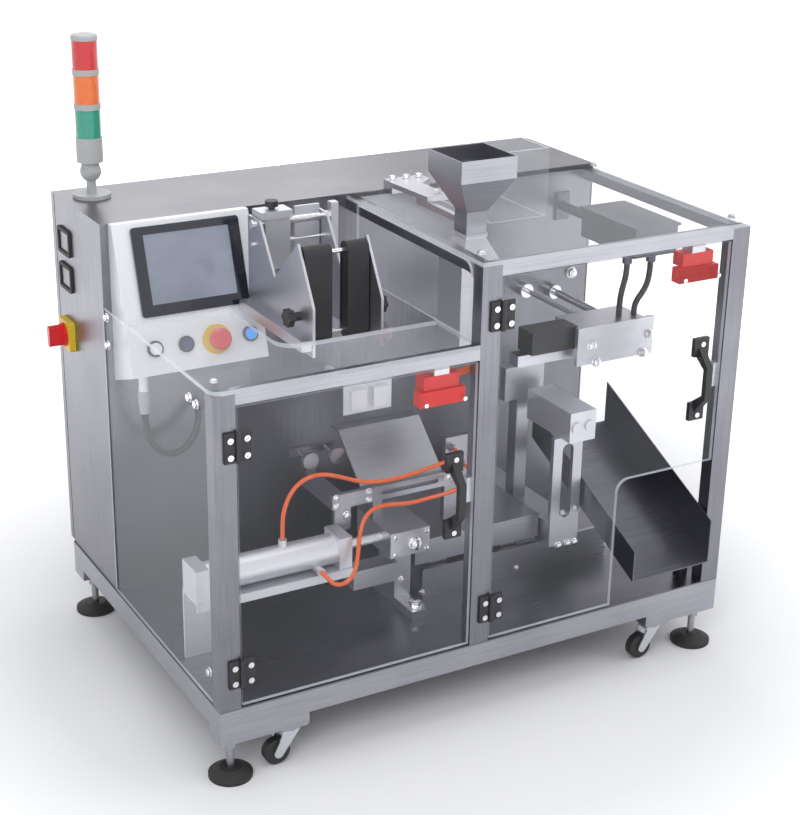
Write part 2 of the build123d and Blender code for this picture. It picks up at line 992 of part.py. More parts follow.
with BuildPart() as right_door:
    with BuildSketch(facing(door_thickness)) as door_outline:
        with BuildLine():
            Polyline(
                (middle_post_right + door_gap, door_sill),
                (chute_notch_left, door_sill),
                (chute_notch_left, chute_notch_level),
                (right_door_right, chute_notch_level),
                (right_door_right, right_door_top),
                (middle_post_right + door_gap, right_door_top),
                close=True,
            )
        make_face()
        notch_corner = Vector(chute_notch_left, chute_notch_level)
        fillet(door_outline.vertices().sort_by_distance(notch_corner)[0], notch_radius)
    extrude(amount=door_thickness)
right_door.part.label = "right_door"
export_step(right_door.part, "parts/right_door.step")


def door_hinges(pin_x, hinge_levels):
    """Adds each hinge's door leaf with its two outer knuckles to the open part."""
    third = hinge_height / 3
    leaf_start = pin_x + hinge_knuckle + hinge_clear
    pin = (pin_x, -hinge_axis)
    for hinge in hinge_levels:
        block(
            (leaf_start, pin_x + hinge_leaf),
            (-hinge_thickness, 0),
            (hinge, hinge + hinge_height),
        )
        for bottom in (hinge, hinge + 2 * third + running_gap):
            top = bottom + third - running_gap
            block((pin_x, leaf_start), (-hinge_thickness, 0), (bottom, top))
            rod(level(bottom), pin, hinge_knuckle, top - bottom)
            rod(level(bottom), pin, hinge_pin + running_gap, top - bottom, mode=Mode.SUBTRACT)


def post_hinges(pin_x, hinge_levels):
    """Adds each hinge's post leaf with its middle knuckle and the pin to the open part."""
    third = hinge_height / 3
    leaf_end = pin_x - hinge_knuckle - hinge_clear
    pin = (pin_x, -hinge_axis)
    for hinge in hinge_levels:
        middle = (hinge + third, hinge + 2 * third)
        block(
            (pin_x - hinge_leaf, leaf_end),
            (-hinge_thickness, 0),
            (hinge, hinge + hinge_height),
        )
        block((leaf_end, pin_x), (-hinge_thickness, 0), middle)
        rod(level(middle[0]), pin, hinge_knuckle, third)
        rod(level(hinge), pin, hinge_pin, hinge_height)


def bow_handle(x, bottom):
    """Adds a bow handle, a bar on two square feet, to the open part."""
    top = bottom + handle_height
    low_bend = bottom + handle_foot + handle_slope / 2
    high_bend = top - handle_foot - handle_slope / 2
    for foot_bottom in (bottom, top - handle_foot):
        block(
            (x - handle_width / 2, x + handle_width / 2),
            (-handle_foot_depth, 0),
            (foot_bottom, foot_bottom + handle_foot),
        )
    slab(
        sideways(x - handle_bar_width / 2),
        handle_bar_width,
        [
            (0, bottom + handle_foot / 2),
            (-handle_foot_depth, bottom + handle_foot / 2),
            (-handle_standoff, low_bend),
            (-handle_standoff, high_bend),
            (-handle_foot_depth, top - handle_foot / 2),
            (0, top - handle_foot / 2),
            (0, top - handle_foot),
            (handle_grip - handle_standoff, high_bend - handle_grip / 2),
            (handle_grip - handle_standoff, low_bend + handle_grip / 2),
            (0, bottom + handle_foot),
        ],
    )


# Door fittings: hinge leaves, bow handle and safety switch key
switch_fall = guard_switch_drop + guard_switch_height
left_key_top = low_height - guard_rail - switch_fall - guard_switch_gap
right_key_top = tall_height - guard_rail - switch_fall - guard_switch_gap
key_span = (door_thickness, door_thickness + actuator_depth)
with BuildPart() as left_door_fittings:
    door_hinges(left_hinge_x, left_hinge_levels)
    bow_handle(left_handle_x, left_handle_level)
    block(
        (left_guard_switch_x - actuator_width / 2, left_guard_switch_x + actuator_width / 2),
        key_span,
        (left_key_top - actuator_height, left_key_top),
    )
left_door_fittings.part.label = "left_door_fittings"
export_step(left_door_fittings.part, "parts/left_door_fittings.step")

with BuildPart() as right_door_fittings:
    door_hinges(right_hinge_x, right_hinge_levels)
    bow_handle(right_handle_x, right_handle_level)
    block(
        (right_guard_switch_x - actuator_width / 2, right_guard_switch_x + actuator_width / 2),
        key_span,
        (right_key_top - actuator_height, right_key_top),
    )
right_door_fittings.part.label = "right_door_fittings"
export_step(right_door_fittings.part, "parts/right_door_fittings.step")

# Fittings on the frame: hinge leaves with pins, safety switches under the rails, catches
with BuildPart() as frame_fittings:
    post_hinges(left_hinge_x, left_hinge_levels)
    post_hinges(right_hinge_x, right_hinge_levels)
    switch_half = guard_switch_width / 2
    switch_span = (guard_switch_y, guard_switch_y + guard_switch_depth)
    for x, rail_bottom in (
        (left_guard_switch_x, low_height - guard_rail),
        (right_guard_switch_x, tall_height - guard_rail),
    ):
        block(
            (x - switch_half, x + switch_half),
            switch_span,
            (rail_bottom - switch_fall, rail_bottom - guard_switch_drop),
        )
        block(
            (x - guard_switch_bracket / 2, x + guard_switch_bracket / 2),
            switch_span,
            (rail_bottom - guard_switch_drop, rail_bottom),
        )
    catch_front = door_thickness + running_gap
    for post_x, catch_level in (
        (middle_post_left, left_catch_level),
        (right_post, right_catch_level),
    ):
        block(
            (post_x - catch_depth, post_x),
            (catch_front, catch_front + catch_depth),
            (catch_level, catch_level + catch_height),
        )
frame_fittings.part.label = "frame_fittings"
export_step(frame_fittings.part, "parts/frame_fittings.step")


def funnel(stages, mode=Mode.ADD):
    """Adds a square funnel through the given (size, level) stages to the open part."""
    outlines = []
    for size, height in stages:
        with BuildSketch(level(height)) as outline:
            with Locations((hopper_x, hopper_y)):
                Rectangle(size, size)
        outlines.append(outline.sketch)
    loft(outlines, ruled=True, mode=mode)


# Hopper: rim, taper, neck through the sheet, flare and square spout, open all the way
with BuildPart() as hopper:
    hopper_stages = (
        (spout_size, spout_bottom),
        (spout_size, spout_level),
        (hopper_neck, spout_neck_level),
        (hopper_neck, hopper_neck_level),
        (hopper_rim, hopper_rim_level),
        (hopper_rim, hopper_top),
    )
    funnel(hopper_stages)
    funnel([(size - 2 * hopper_wall, height) for size, height in hopper_stages], Mode.SUBTRACT)
hopper.part.label = "hopper"
export_step(hopper.part, "parts/hopper.step")

# Clear four-walled shield on the tall sheet
sheet_top = tall_height + top_sheet
with BuildPart() as hopper_shield:
    shield_levels = (sheet_top, sheet_top + shield_height)
    block((shield_left, shield_right), (shield_front, shield_rear), shield_levels)
    block(
        (shield_left + panel_thickness, shield_right - panel_thickness),
        (shield_front + panel_thickness, shield_rear - panel_thickness),
        shield_levels,
        mode=Mode.SUBTRACT,
    )
hopper_shield.part.label = "hopper_shield"
export_step(hopper_shield.part, "parts/hopper_shield.step")

# Bracket that carries the hopper: bar to its neck, plate and rear block
with BuildPart() as hopper_bracket:
    bar_top = sheet_top + hanger_bar_height
    neck_back = hopper_y + hopper_neck / 2
    block(
        (hanger_tip_left, hanger_tip_left + hanger_bar_width),
        (neck_back, hanger_bar_rear),
        (sheet_top, bar_top),
    )
    slab(
        level(bar_top),
        hanger_plate_thickness,
        [
            (hanger_tip_left, hanger_plate_front),
            (hanger_tip_right, hanger_plate_front),
            (hanger_tip_right, shield_rear + neck_clearance),
            (hanger_plate_right, cabinet_y - hanger_block_depth),
            (hanger_plate_right, cabinet_y),
            (hanger_plate_left, cabinet_y),
            (hanger_plate_left, cabinet_y - hanger_block_depth),
        ],
    )
    block(
        (hanger_plate_left, hanger_plate_right),
        (cabinet_y - hanger_block_depth, cabinet_y),
        (sheet_top, bar_top),
    )
hopper_bracket.part.label = "hopper_bracket"
export_step(hopper_bracket.part, "parts/hopper_bracket.step")

# Magazine: two notched plates with base bars on their outer sides
roller_ends = (magazine_left + magazine_plate, magazine_right - magazine_plate)
magazine_outline = [
    (magazine_front, magazine_foot),
    (magazine_front, magazine_chin),
    (magazine_tooth_y, magazine_tooth),
    (magazine_notch_y, magazine_notch),
    (magazine_back_y, magazine_top),
    (magazine_rear, magazine_top),
    (magazine_rear, magazine_foot),
]
with BuildPart() as magazine_plates:
    for plate_x in (magazine_left, magazine_right - magazine_plate):
        slab(sideways(plate_x), magazine_plate, magazine_outline)
        for centre, radius in (
            ((shaft_y, shaft_level), shaft_radius),
            ((shaft_y, lower_shaft_level), lower_shaft_radius),
        ):
            rod(
                sideways(plate_x),
                centre,
                radius + running_gap,
                magazine_plate,
                mode=Mode.SUBTRACT,
            )
    for bar_left, bar_rear in (
        (magazine_left - magazine_bar_width, magazine_rear),
        (magazine_right, cabinet_y),
    ):
        block(
            (bar_left, bar_left + magazine_bar_width),
            (strip_depth + magazine_plate, bar_rear),
            (magazine_bar_level, magazine_bar_level + magazine_bar_width),
        )
magazine_plates.part.label = "magazine_plates"
export_step(magazine_plates.part, "parts/magazine_plates.step")

# Magazine belts, each over two rollers and a bed, just inside the plates
belt_spans = (
    (roller_ends[0] + belt_margin, roller_ends[0] + belt_margin + left_belt_width),
    (roller_ends[1] - belt_margin - right_belt_width, roller_ends[1] - belt_margin),
)
roller_levels = (upper_roller_level, lower_roller_level)
with BuildPart() as magazine_belts:
    belt_centre = (upper_roller_level + lower_roller_level) / 2
    belt_length = upper_roller_level - lower_roller_level
    for belt_span in belt_spans:
        with BuildSketch(sideways(belt_span[0])):
            with Locations((roller_y, belt_centre)):
                SlotCenterToCenter(
                    belt_length,
                    2 * (roller_radius + belt_thickness),
                    rotation=90,
                )
                SlotCenterToCenter(
                    belt_length,
                    2 * roller_radius,
                    rotation=90,
                    mode=Mode.SUBTRACT,
                )
            with Locations(*[(roller_y, height) for height in roller_levels]):
                Circle(roller_radius)
        extrude(amount=belt_span[1] - belt_span[0])
        block(
            belt_span,
            (roller_y - roller_radius, roller_y - roller_radius + bed_thickness),
            roller_levels[::-1],
        )
magazine_belts.part.label = "magazine_belts"
export_step(magazine_belts.part, "parts/magazine_belts.step")

# Cross shafts with the clamps that slide on them, and the roller pins
with BuildPart() as magazine_shafts:
    shaft_start = magazine_left - magazine_plate
    shaft_end = magazine_right + shaft_overhang
    shaft_length = shaft_end - shaft_start
    rod(sideways(shaft_start), (shaft_y, shaft_level), shaft_radius, shaft_length)
    rod(sideways(shaft_start), (shaft_y, lower_shaft_level), lower_shaft_radius, shaft_length)
    block(
        (clamp_left, clamp_left + clamp_width),
        (shaft_y - clamp_depth / 2, shaft_y + clamp_depth / 2),
        (clamp_bottom, clamp_top),
    )
    block(
        (roller_ends[0] + belt_margin, clamp_left + clamp_width),
        (shaft_y - clamp_depth, shaft_y + clamp_depth),
        (clamp_top - clamp_cap, clamp_top),
    )
    block(
        (plate_clamp_left, roller_ends[1] - belt_margin),
        (shaft_y - plate_clamp_thickness / 2, shaft_y + plate_clamp_thickness / 2),
        (clamp_bottom, clamp_top),
    )
    block(
        (shaft_end, shaft_end + shaft_overhang),
        (shaft_y - shaft_radius, shaft_y + shaft_radius),
        (clamp_bottom, clamp_top),
    )
    for height in roller_levels:
        for start, end in (
            (roller_ends[0], belt_spans[0][0]),
            (belt_spans[0][1], belt_spans[1][0]),
            (belt_spans[1][1], roller_ends[1]),
        ):
            rod(sideways(start), (roller_y, height), lower_shaft_radius, end - start)
magazine_shafts.part.label = "magazine_shafts"
export_step(magazine_shafts.part, "parts/magazine_shafts.step")

# Star knobs on both plates and the clamp's knob
with BuildPart() as magazine_knobs:
    star_centre = (star_knob_y, star_knob_level)
    hub_reach = star_knob_reach - star_knob_thickness
    for plate_face, toward in ((magazine_left, -1), (magazine_right, 1)):
        rod(sideways(plate_face), star_centre, star_knob_hub, toward * star_knob_reach)
        with BuildSketch(sideways(plate_face + toward * hub_reach)):
            with Locations(star_centre):
                Circle(star_knob_radius - 3)
                with PolarLocations(star_knob_radius - 4, 6):
                    Circle(4)
        extrude(amount=toward * star_knob_thickness)
    knob_centre = (clamp_knob_x, shaft_y)
    rod(level(clamp_top), knob_centre, clamp_knob_radius / 2, clamp_knob_height)
    rod(
        level(clamp_top + clamp_knob_height / 3),
        knob_centre,
        clamp_knob_radius,
        clamp_knob_height * 2 / 3,
    )
magazine_knobs.part.label = "magazine_knobs"
export_step(magazine_knobs.part, "parts/magazine_knobs.step")

# Guide shafts from the cabinet's front to the carriage head
with BuildPart() as guide_shafts:
    for x, height, radius in (
        (guide_a_x, guide_a_level, guide_a_radius),
        (guide_b_x, guide_b_level, guide_b_radius),
    ):
        rod(facing(cabinet_y), (x, height), radius, cabinet_y - head_body_rear)
        rod(facing(cabinet_y), (x, height), guide_flange, guide_flange_length)
guide_shafts.part.label = "guide_shafts"
export_step(guide_shafts.part, "parts/guide_shafts.step")

# Carriage head: front plate, body, side arm with its pad
with BuildPart() as carriage_head:
    head_back = head_front + head_plate
    block(
        (head_left, head_right),
        (head_front, head_back),
        (head_bottom, head_bottom + head_height),
    )
    block(
        (head_body_start, head_body_right),
        (head_back, head_body_rear),
        (head_body_bottom, head_body_top),
    )
    block(
        (side_arm_left, head_body_start),
        (side_arm_front, side_arm_rear),
        (head_body_bottom, side_arm_top),
    )
    block(
        (pad_left, head_body_start),
        (side_arm_front - head_plate, side_arm_rear + head_plate),
        (side_arm_top, side_arm_top + pad_block_height),
    )
carriage_head.part.label = "carriage_head"
export_step(carriage_head.part, "parts/carriage_head.step")

# Junction box on its arm, with a lid and two glands below
with BuildPart() as junction_box:
    junction_right = junction_left + junction_width
    junction_rear = junction_front + junction_depth
    lid_bottom = junction_bottom + junction_height
    block(
        (junction_left, junction_right),
        (junction_front, junction_rear),
        (junction_bottom, lid_bottom),
    )
    block(
        (junction_left - junction_lid_overhang, junction_right + junction_lid_overhang),
        (junction_front - junction_lid_overhang, junction_rear + junction_lid_overhang),
        (lid_bottom, lid_bottom + junction_lid),
    )
    rod(facing(cabinet_y), (arm_x, arm_level), arm_radius, cabinet_y - junction_rear)
    block(
        (arm_x - arm_flange_width / 2, arm_x + arm_flange_width / 2),
        (cabinet_y - arm_flange_thickness, cabinet_y),
        (arm_level - arm_flange_height / 2, arm_level + arm_flange_height / 2),
    )
    for gland in ((left_gland_x, left_gland_y), (right_gland_x, right_gland_y)):
        rod(level(junction_bottom - gland_height), gland, gland_radius, gland_height)
junction_box.part.label = "junction_box"
export_step(junction_box.part, "parts/junction_box.step")


def chute_level(y):
    """Gives the height of the chute floor's top at depth y."""
    share = (y + chute_overhang) / (chute_rear + chute_overhang)
    return chute_front_level + share * (chute_rear_level - chute_front_level)


# Discharge chute: sloping floor between two walls, with a leg at its right front
chute_front = -chute_overhang
with BuildPart() as chute:
    slab(
        sideways(chute_left),
        chute_right - chute_left,
        [
            (chute_front, chute_level(chute_front) - chute_wall),
            (chute_rear, chute_level(chute_rear) - chute_wall),
            (chute_rear, chute_level(chute_rear)),
            (chute_front, chute_level(chute_front)),
        ],
    )
    for wall_x, wall_height in (
        (chute_left, chute_left_wall),
        (chute_right - chute_wall, chute_right_wall),
    ):
        slab(
            sideways(wall_x),
            chute_wall,
            [
                (chute_front, chute_level(chute_front)),
                (chute_rear, chute_level(chute_rear)),
                (chute_rear, chute_level(chute_rear) + wall_height),
                (chute_front, chute_level(chute_front) + wall_height),
            ],
        )
    leg_rear = chute_leg_y + chute_leg_width
    slab(
        sideways(chute_right - chute_leg_width),
        chute_leg_width,
        [
            (chute_leg_y, 0),
            (leg_rear, 0),
            (leg_rear, chute_level(leg_rear) - chute_wall / 2),
            (chute_leg_y, chute_level(chute_leg_y) - chute_wall / 2),
        ],
    )
chute.part.label = "chute"
export_step(chute.part, "parts/chute.step")

# Long low platform: top block on two legs, front skirt and the valve post on it
platform_top = platform_level + platform_height
with BuildPart() as platform:
    block(
        (platform_left, platform_right),
        (platform_front, platform_rear),
        (platform_level, platform_top),
    )
    for leg_x in (platform_left + platform_leg, platform_right - 2 * platform_leg):
        block(
            (leg_x, leg_x + platform_leg),
            (platform_front + platform_leg_setback, platform_rear),
            (0, platform_level),
        )
    block(
        (skirt_left, skirt_right),
        (platform_front, platform_front + skirt_thickness),
        (0, skirt_height),
    )
    block(
        (valve_post_left, valve_post_left + valve_post_width),
        (valve_post_y, valve_post_y + valve_post_depth),
        (platform_top, valve_post_top),
    )
    for fitting in (
        (upper_fitting_x, upper_fitting_level),
        (lower_fitting_x, lower_fitting_level),
    ):
        rod(facing(valve_post_y), fitting, fitting_radius, fitting_length)
platform.part.label = "platform"
export_step(platform.part, "parts/platform.step")

# Transfer unit: rail on the skirt, slotted upright at its front, column and block
rail_top = skirt_height + rail_height
with BuildPart() as transfer_supports:
    block(
        (rail_left, rail_left + rail_width),
        (rail_front, cabinet_y),
        (skirt_height, rail_top),
    )
    block(
        (upright_left, upright_left + upright_width),
        (rail_front - upright_thickness, rail_front),
        (upright_bottom, upright_top),
    )
    with BuildSketch(facing(rail_front)):
        slot_level = (upright_slot_bottom + upright_slot_top) / 2
        with Locations((upright_left + upright_width / 2, slot_level)):
            SlotOverall(upright_slot_top - upright_slot_bottom, upright_slot, rotation=90)
    extrude(amount=upright_thickness, mode=Mode.SUBTRACT)
    block(
        (column_left, column_left + column_width),
        (column_y, column_y + column_depth),
        (rail_top, column_top),
    )
    block(
        (transfer_left, transfer_left + transfer_width),
        (column_y, column_y + column_depth),
        (column_top, column_top + transfer_height),
    )
transfer_supports.part.label = "transfer_supports"
export_step(transfer_supports.part, "parts/transfer_supports.step")

# Small twin cylinder on top of the slotted upright, with two round ports in front
with BuildPart() as grip_cylinder:
    block(
        (grip_left, grip_left + grip_width),
        (grip_front, grip_front + grip_depth),
        (upright_top, upright_top + grip_height),
    )
    port_level = upright_top + grip_height / 2
    for port_x in (grip_left + grip_width / 4, grip_left + 3 * grip_width / 4):
        rod(facing(grip_front), (port_x, port_level), grip_port_radius, grip_port_depth)
grip_cylinder.part.label = "grip_cylinder"
export_step(grip_cylinder.part, "parts/grip_cylinder.step")

# Air cylinder on its angle plate
with BuildPart() as air_cylinder:
    barrel = (cylinder_y, cylinder_level)
    rod(sideways(cylinder_left), barrel, cylinder_radius, cylinder_right - cylinder_left)
    for cap_x in (cylinder_left, cylinder_right - cylinder_cap):
        block(
            (cap_x, cap_x + cylinder_cap),
            (cylinder_y - cylinder_cap_half, cylinder_y + cylinder_cap_half),
            (cylinder_level - cylinder_cap_half, cylinder_level + cylinder_cap_half),
        )
    rod(sideways(cylinder_right), barrel, rod_radius, rod_end - cylinder_right)
    plate_top = cylinder_level - cylinder_cap_half
    block(
        (cylinder_left, cylinder_right),
        (cylinder_y - angle_width / 2, cylinder_y + angle_width / 2),
        (plate_top - angle_thickness, plate_top),
    )
    lip_front = cylinder_y - angle_width / 2
    block(
        (cylinder_left, cylinder_right),
        (lip_front, lip_front + angle_thickness),
        (plate_top - angle_lip, plate_top),
    )
    block(
        (cylinder_left, cylinder_left + angle_foot),
        (cylinder_y + angle_width / 2 - angle_thickness, cylinder_y + angle_width / 2),
        (0, plate_top),
    )
    rod(
        level(cylinder_level),
        (cylinder_fitting_x, cylinder_y),
        fitting_radius,
        cylinder_radius + fitting_length,
    )
    rod(
        facing(cylinder_y),
        (under_fitting_x, under_fitting_level),
        fitting_radius,
        cylinder_radius + fitting_length,
    )
air_cylinder.part.label = "air_cylinder"
export_step(air_cylinder.part, "parts/air_cylinder.step")

# Clamp unit on its floor rail: upright block, head and the arm toward the air cylinder
with BuildPart() as clamp_unit:
    block(
        (clamp_rail_left, clamp_rail_right),
        (clamp_rail_front, clamp_rail_back),
        (0, clamp_rail_height),
    )
    block(
        (clamp_rail_left, clamp_head_right),
        (clamp_web_front, clamp_web_back),
        (clamp_rail_height, clamp_head_bottom),
    )
    block(
        (clamp_arm_left, clamp_rail_left),
        (clamp_arm_front, clamp_arm_back),
        (clamp_arm_bottom, clamp_arm_top),
    )
    block(
        (clamp_head_left, clamp_head_right),
        (clamp_head_front, clamp_web_back),
        (clamp_head_bottom, clamp_head_top),
    )
clamp_unit.part.label = "clamp_unit"
export_step(clamp_unit.part, "parts/clamp_unit.step")

# Forming plates: slotted bar across and the tilted sheet behind it, on one post
with BuildPart() as forming_plates:
    bar_back = slotted_y + slotted_thickness
    block(
        (slotted_left, slotted_right),
        (slotted_y, bar_back),
        (slotted_bottom, slotted_bottom + slotted_height),
    )
    with BuildSketch(facing(bar_back)):
        with Locations(((slot_left + slot_right) / 2, slotted_bottom + slotted_height / 2)):
            SlotOverall(slot_right - slot_left, slot_width)
    extrude(amount=slotted_thickness, mode=Mode.SUBTRACT)
    slab(
        sideways(tilted_left),
        tilted_right - tilted_left,
        [
            (bar_back, slotted_bottom),
            (tilted_front, slotted_bottom),
            (tilted_front, tilted_bottom),
            (tilted_rear, tilted_top),
            (tilted_rear + tilted_flange, tilted_top),
            (tilted_rear + tilted_flange, tilted_top + tilted_thickness),
            (tilted_rear, tilted_top + tilted_thickness),
            (bar_back, tilted_bottom + tilted_thickness),
        ],
    )
    block(
        (slotted_left, slotted_left + wing_width),
        (bar_back, bar_back + wing_depth),
        (slotted_bottom, slotted_bottom + wing_height),
    )
    block(
        (clamp_head_left, clamp_head_left + 2 * slotted_thickness),
        (slotted_y, clamp_web_back),
        (clamp_head_top, slotted_bottom),
    )
    block(
        (slotted_left + hanger_inset, slotted_left + wing_width),
        (bar_back, bar_back + slotted_thickness),
        (slotted_bottom - hanger_drop, slotted_bottom),
    )
    wing_back = bar_back + wing_depth
    post_x = slotted_left + hanger_inset
    block(
        (post_x, post_x + plunger_bar_height),
        (wing_back - wing_height, wing_back),
        (slotted_bottom + wing_height, plunger_level),
    )
    block(
        (plunger_bar_left, plunger_bar_left + plunger_bar_length),
        (wing_back - wing_height, wing_back),
        (plunger_level - plunger_bar_height / 2, plunger_level + plunger_bar_height / 2),
    )
    for plunger_x in (
        plunger_bar_left + plunger_radius,
        plunger_bar_left + plunger_bar_length - plunger_radius,
    ):
        plunger = (plunger_x, plunger_level)
        rod(facing(wing_back), plunger, plunger_rod, plunger_reach)
        rod(facing(wing_back - plunger_reach), plunger, plunger_radius, plunger_disc)
forming_plates.part.label = "forming_plates"
export_step(forming_plates.part, "parts/forming_plates.step")

# Gauge panel with two pressure switches on an arm from the cabinet
with BuildPart() as gauge_panel:
    gauge_middle = gauge_left + gauge_width / 2
    gauge_centre = gauge_level + gauge_height / 2
    block(
        (gauge_left, gauge_left + gauge_width),
        (gauge_y, gauge_y + gauge_plate),
        (gauge_level, gauge_level + gauge_height),
    )
    block(
        (gauge_middle - gauge_arm / 2, gauge_middle + gauge_arm / 2),
        (gauge_y + gauge_plate, cabinet_y),
        (gauge_centre - gauge_arm / 2, gauge_centre + gauge_arm / 2),
    )
    for offset_x in (-gauge_pitch / 2, gauge_pitch / 2):
        block(
            (
                gauge_middle + offset_x - gauge_body_width / 2,
                gauge_middle + offset_x + gauge_body_width / 2,
            ),
            (gauge_y - gauge_body_depth, gauge_y),
            (gauge_centre - gauge_body_height / 2, gauge_centre + gauge_body_height / 2),
        )
gauge_panel.part.label = "gauge_panel"
export_step(gauge_panel.part, "parts/gauge_panel.step")

# Cables and tubes
write_cord(
    "hmi_cable",
    [
        (connector_x, connector_y, connector_bottom),
        (connector_x, connector_y, connector_bottom - 27),
        (connector_x + 11, connector_y, connector_bottom - 65),
        (connector_x + 37, connector_y + 1, connector_bottom - 92),
        (connector_x + 73, connector_y + 6, connector_bottom - 95),
        (connector_x + 101, connector_y + 14, connector_bottom - 77),
        (connector_x + 117, connector_y + 26, connector_bottom - 49),
        (connector_x + 126, connector_y + 44, connector_bottom - 27),
        (connector_x + 126, cabinet_y, connector_bottom - 27),
    ],
    control_cable,
)
gland_bottom = junction_bottom - gland_height
write_cord(
    "carriage_cable_left",
    [
        (left_gland_x, left_gland_y, gland_bottom),
        (left_gland_x, left_gland_y, gland_bottom - 26),
        (left_gland_x - 5, left_gland_y + 3, gland_bottom - 51),
        (left_gland_x - 6, left_gland_y + 8, head_body_top + 32),
        (left_gland_x - 6, left_gland_y + 8, head_body_top),
    ],
    carriage_cable,
)
write_cord(
    "carriage_cable_right",
    [
        (right_gland_x, right_gland_y, gland_bottom),
        (right_gland_x, right_gland_y, gland_bottom - 29),
        (right_gland_x - 5, right_gland_y + 4, gland_bottom - 57),
        (right_gland_x - 18, right_gland_y + 13, head_body_top + 30),
        (right_gland_x - 21, right_gland_y + 15, head_body_top + 14),
        (right_gland_x - 21, right_gland_y + 15, head_body_top),
    ],
    carriage_cable,
)
write_cord(
    "upper_air_tube",
    [
        (cylinder_fitting_x, cylinder_y, cylinder_level + cylinder_radius + fitting_length),
        (cylinder_fitting_x, cylinder_y, cylinder_level + 68),
        (cylinder_fitting_x + 5, cylinder_y + 5, cylinder_level + 96),
        (cylinder_fitting_x + 23, cylinder_y + 11, cylinder_level + 126),
        (cylinder_fitting_x + 51, cylinder_y + 14, cylinder_level + 145),
        (cylinder_fitting_x + 87, cylinder_y + 16, cylinder_level + 147),
        (slotted_left + 6, slotted_y - 13, slotted_bottom + 74),
        (slotted_left + 40, slotted_y - 12, slotted_bottom + 58),
        (slotted_left + 78, slotted_y - 12, slotted_bottom + 46),
        (slotted_left + 126, slotted_y - 12, slotted_bottom + 43),
        (slotted_left + 176, slotted_y - 11, slotted_bottom + 47),
        (upper_fitting_x - 70, valve_post_y - 70, upper_fitting_level + 6),
        (upper_fitting_x - 32, valve_post_y - 60, upper_fitting_level + 6),
        (upper_fitting_x - 8, valve_post_y - 44, upper_fitting_level + 2),
        (upper_fitting_x, valve_post_y - 26, upper_fitting_level),
        (upper_fitting_x, valve_post_y - fitting_length, upper_fitting_level),
    ],
    air_tube,
)
write_cord(
    "lower_air_tube",
    [
        (lower_fitting_x, valve_post_y - fitting_length, lower_fitting_level),
        (lower_fitting_x, valve_post_y - 36, lower_fitting_level),
        (lower_fitting_x - 16, valve_post_y - 66, lower_fitting_level - 1),
        (lower_fitting_x - 50, valve_post_y - 90, lower_fitting_level - 3),
        (lower_fitting_x - 92, valve_post_y - 104, lower_fitting_level - 2),
        (lower_fitting_x - 138, valve_post_y - 112, lower_fitting_level + 1),
        (lower_fitting_x - 180, valve_post_y - 115, lower_fitting_level),
        (under_fitting_x + 154, cylinder_y - 24, under_fitting_level + 97),
        (under_fitting_x + 118, cylinder_y - 27, under_fitting_level + 101),
        (under_fitting_x + 91, cylinder_y - 33, under_fitting_level + 88),
        (under_fitting_x + 77, cylinder_y - 41, under_fitting_level + 58),
        (under_fitting_x + 70, cylinder_y - 50, under_fitting_level + 24),
        (under_fitting_x + 60, cylinder_y - 58, under_fitting_level - 6),
        (under_fitting_x + 38, cylinder_y - 66, under_fitting_level - 20),
        (under_fitting_x + 14, cylinder_y - 66, under_fitting_level - 18),
        (under_fitting_x, cylinder_y - 60, under_fitting_level),
        (under_fitting_x, cylinder_y - cylinder_radius - fitting_length, under_fitting_level),
    ],
    air_tube,
)
hose_x = middle_post_left + 37
hose_level = tall_height - 29
hose_end_level = low_height - guard_rail - guard_switch_drop - guard_switch_height / 2
switch_side = left_guard_switch_x + guard_switch_width / 2
write_cord(
    "hose_bundle",
    [
        (hose_x, cabinet_y, hose_level),
        (hose_x, cabinet_y - 60, hose_level),
        (hose_x + 1, post_depth + 310, hose_level - 3),
        (hose_x - 1, post_depth + 250, hose_level),
        (hose_x, post_depth + 170, hose_level - 5),
        (hose_x - 1, post_depth + 102, hose_level - 2),
        (hose_x, post_depth + 58, hose_level - 5),
        (hose_x - 1, post_depth + 30, hose_level - 22),
        (hose_x - 2, post_depth + 18, hose_level - 54),
        (hose_x, post_depth + 16, hose_level - 86),
        (hose_x, post_depth + 15, hose_end_level + 39),
        (hose_x - 13, post_depth + 11, hose_end_level + 16),
        (middle_post_left - 4, post_depth + 7, hose_end_level),
        (switch_side + 3, post_depth + 7, hose_end_level),
    ],
    hose_bundle,
)
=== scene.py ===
"""Looks for the pouch packing machine: materials, small parts, cables, light and camera."""

import logging
import math
from dataclasses import dataclass, field
from enum import Enum
from typing import Callable, Optional, Sequence

import bmesh
import bpy
from mathutils import Matrix, Vector

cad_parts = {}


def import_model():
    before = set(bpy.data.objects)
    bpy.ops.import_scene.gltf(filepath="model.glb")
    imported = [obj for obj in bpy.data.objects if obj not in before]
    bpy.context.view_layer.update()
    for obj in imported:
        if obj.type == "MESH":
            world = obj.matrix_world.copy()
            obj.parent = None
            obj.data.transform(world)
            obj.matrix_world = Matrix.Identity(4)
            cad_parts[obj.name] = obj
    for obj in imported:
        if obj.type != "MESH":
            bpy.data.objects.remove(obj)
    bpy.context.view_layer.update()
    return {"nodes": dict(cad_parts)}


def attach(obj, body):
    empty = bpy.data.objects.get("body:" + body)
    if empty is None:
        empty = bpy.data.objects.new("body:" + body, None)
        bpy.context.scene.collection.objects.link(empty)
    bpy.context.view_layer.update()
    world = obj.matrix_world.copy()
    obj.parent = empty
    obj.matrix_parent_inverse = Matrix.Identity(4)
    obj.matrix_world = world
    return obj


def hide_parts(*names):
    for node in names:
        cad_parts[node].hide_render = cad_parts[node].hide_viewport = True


LOG = logging.getLogger("pouch_machine")
Triple = tuple[float, float, float]
MM = 0.001

# Where the measured corner of the machine lies: the base's left and front sides, the deck.
LEFT = -528.85
FRONT = -365.5
DECK = 151.0


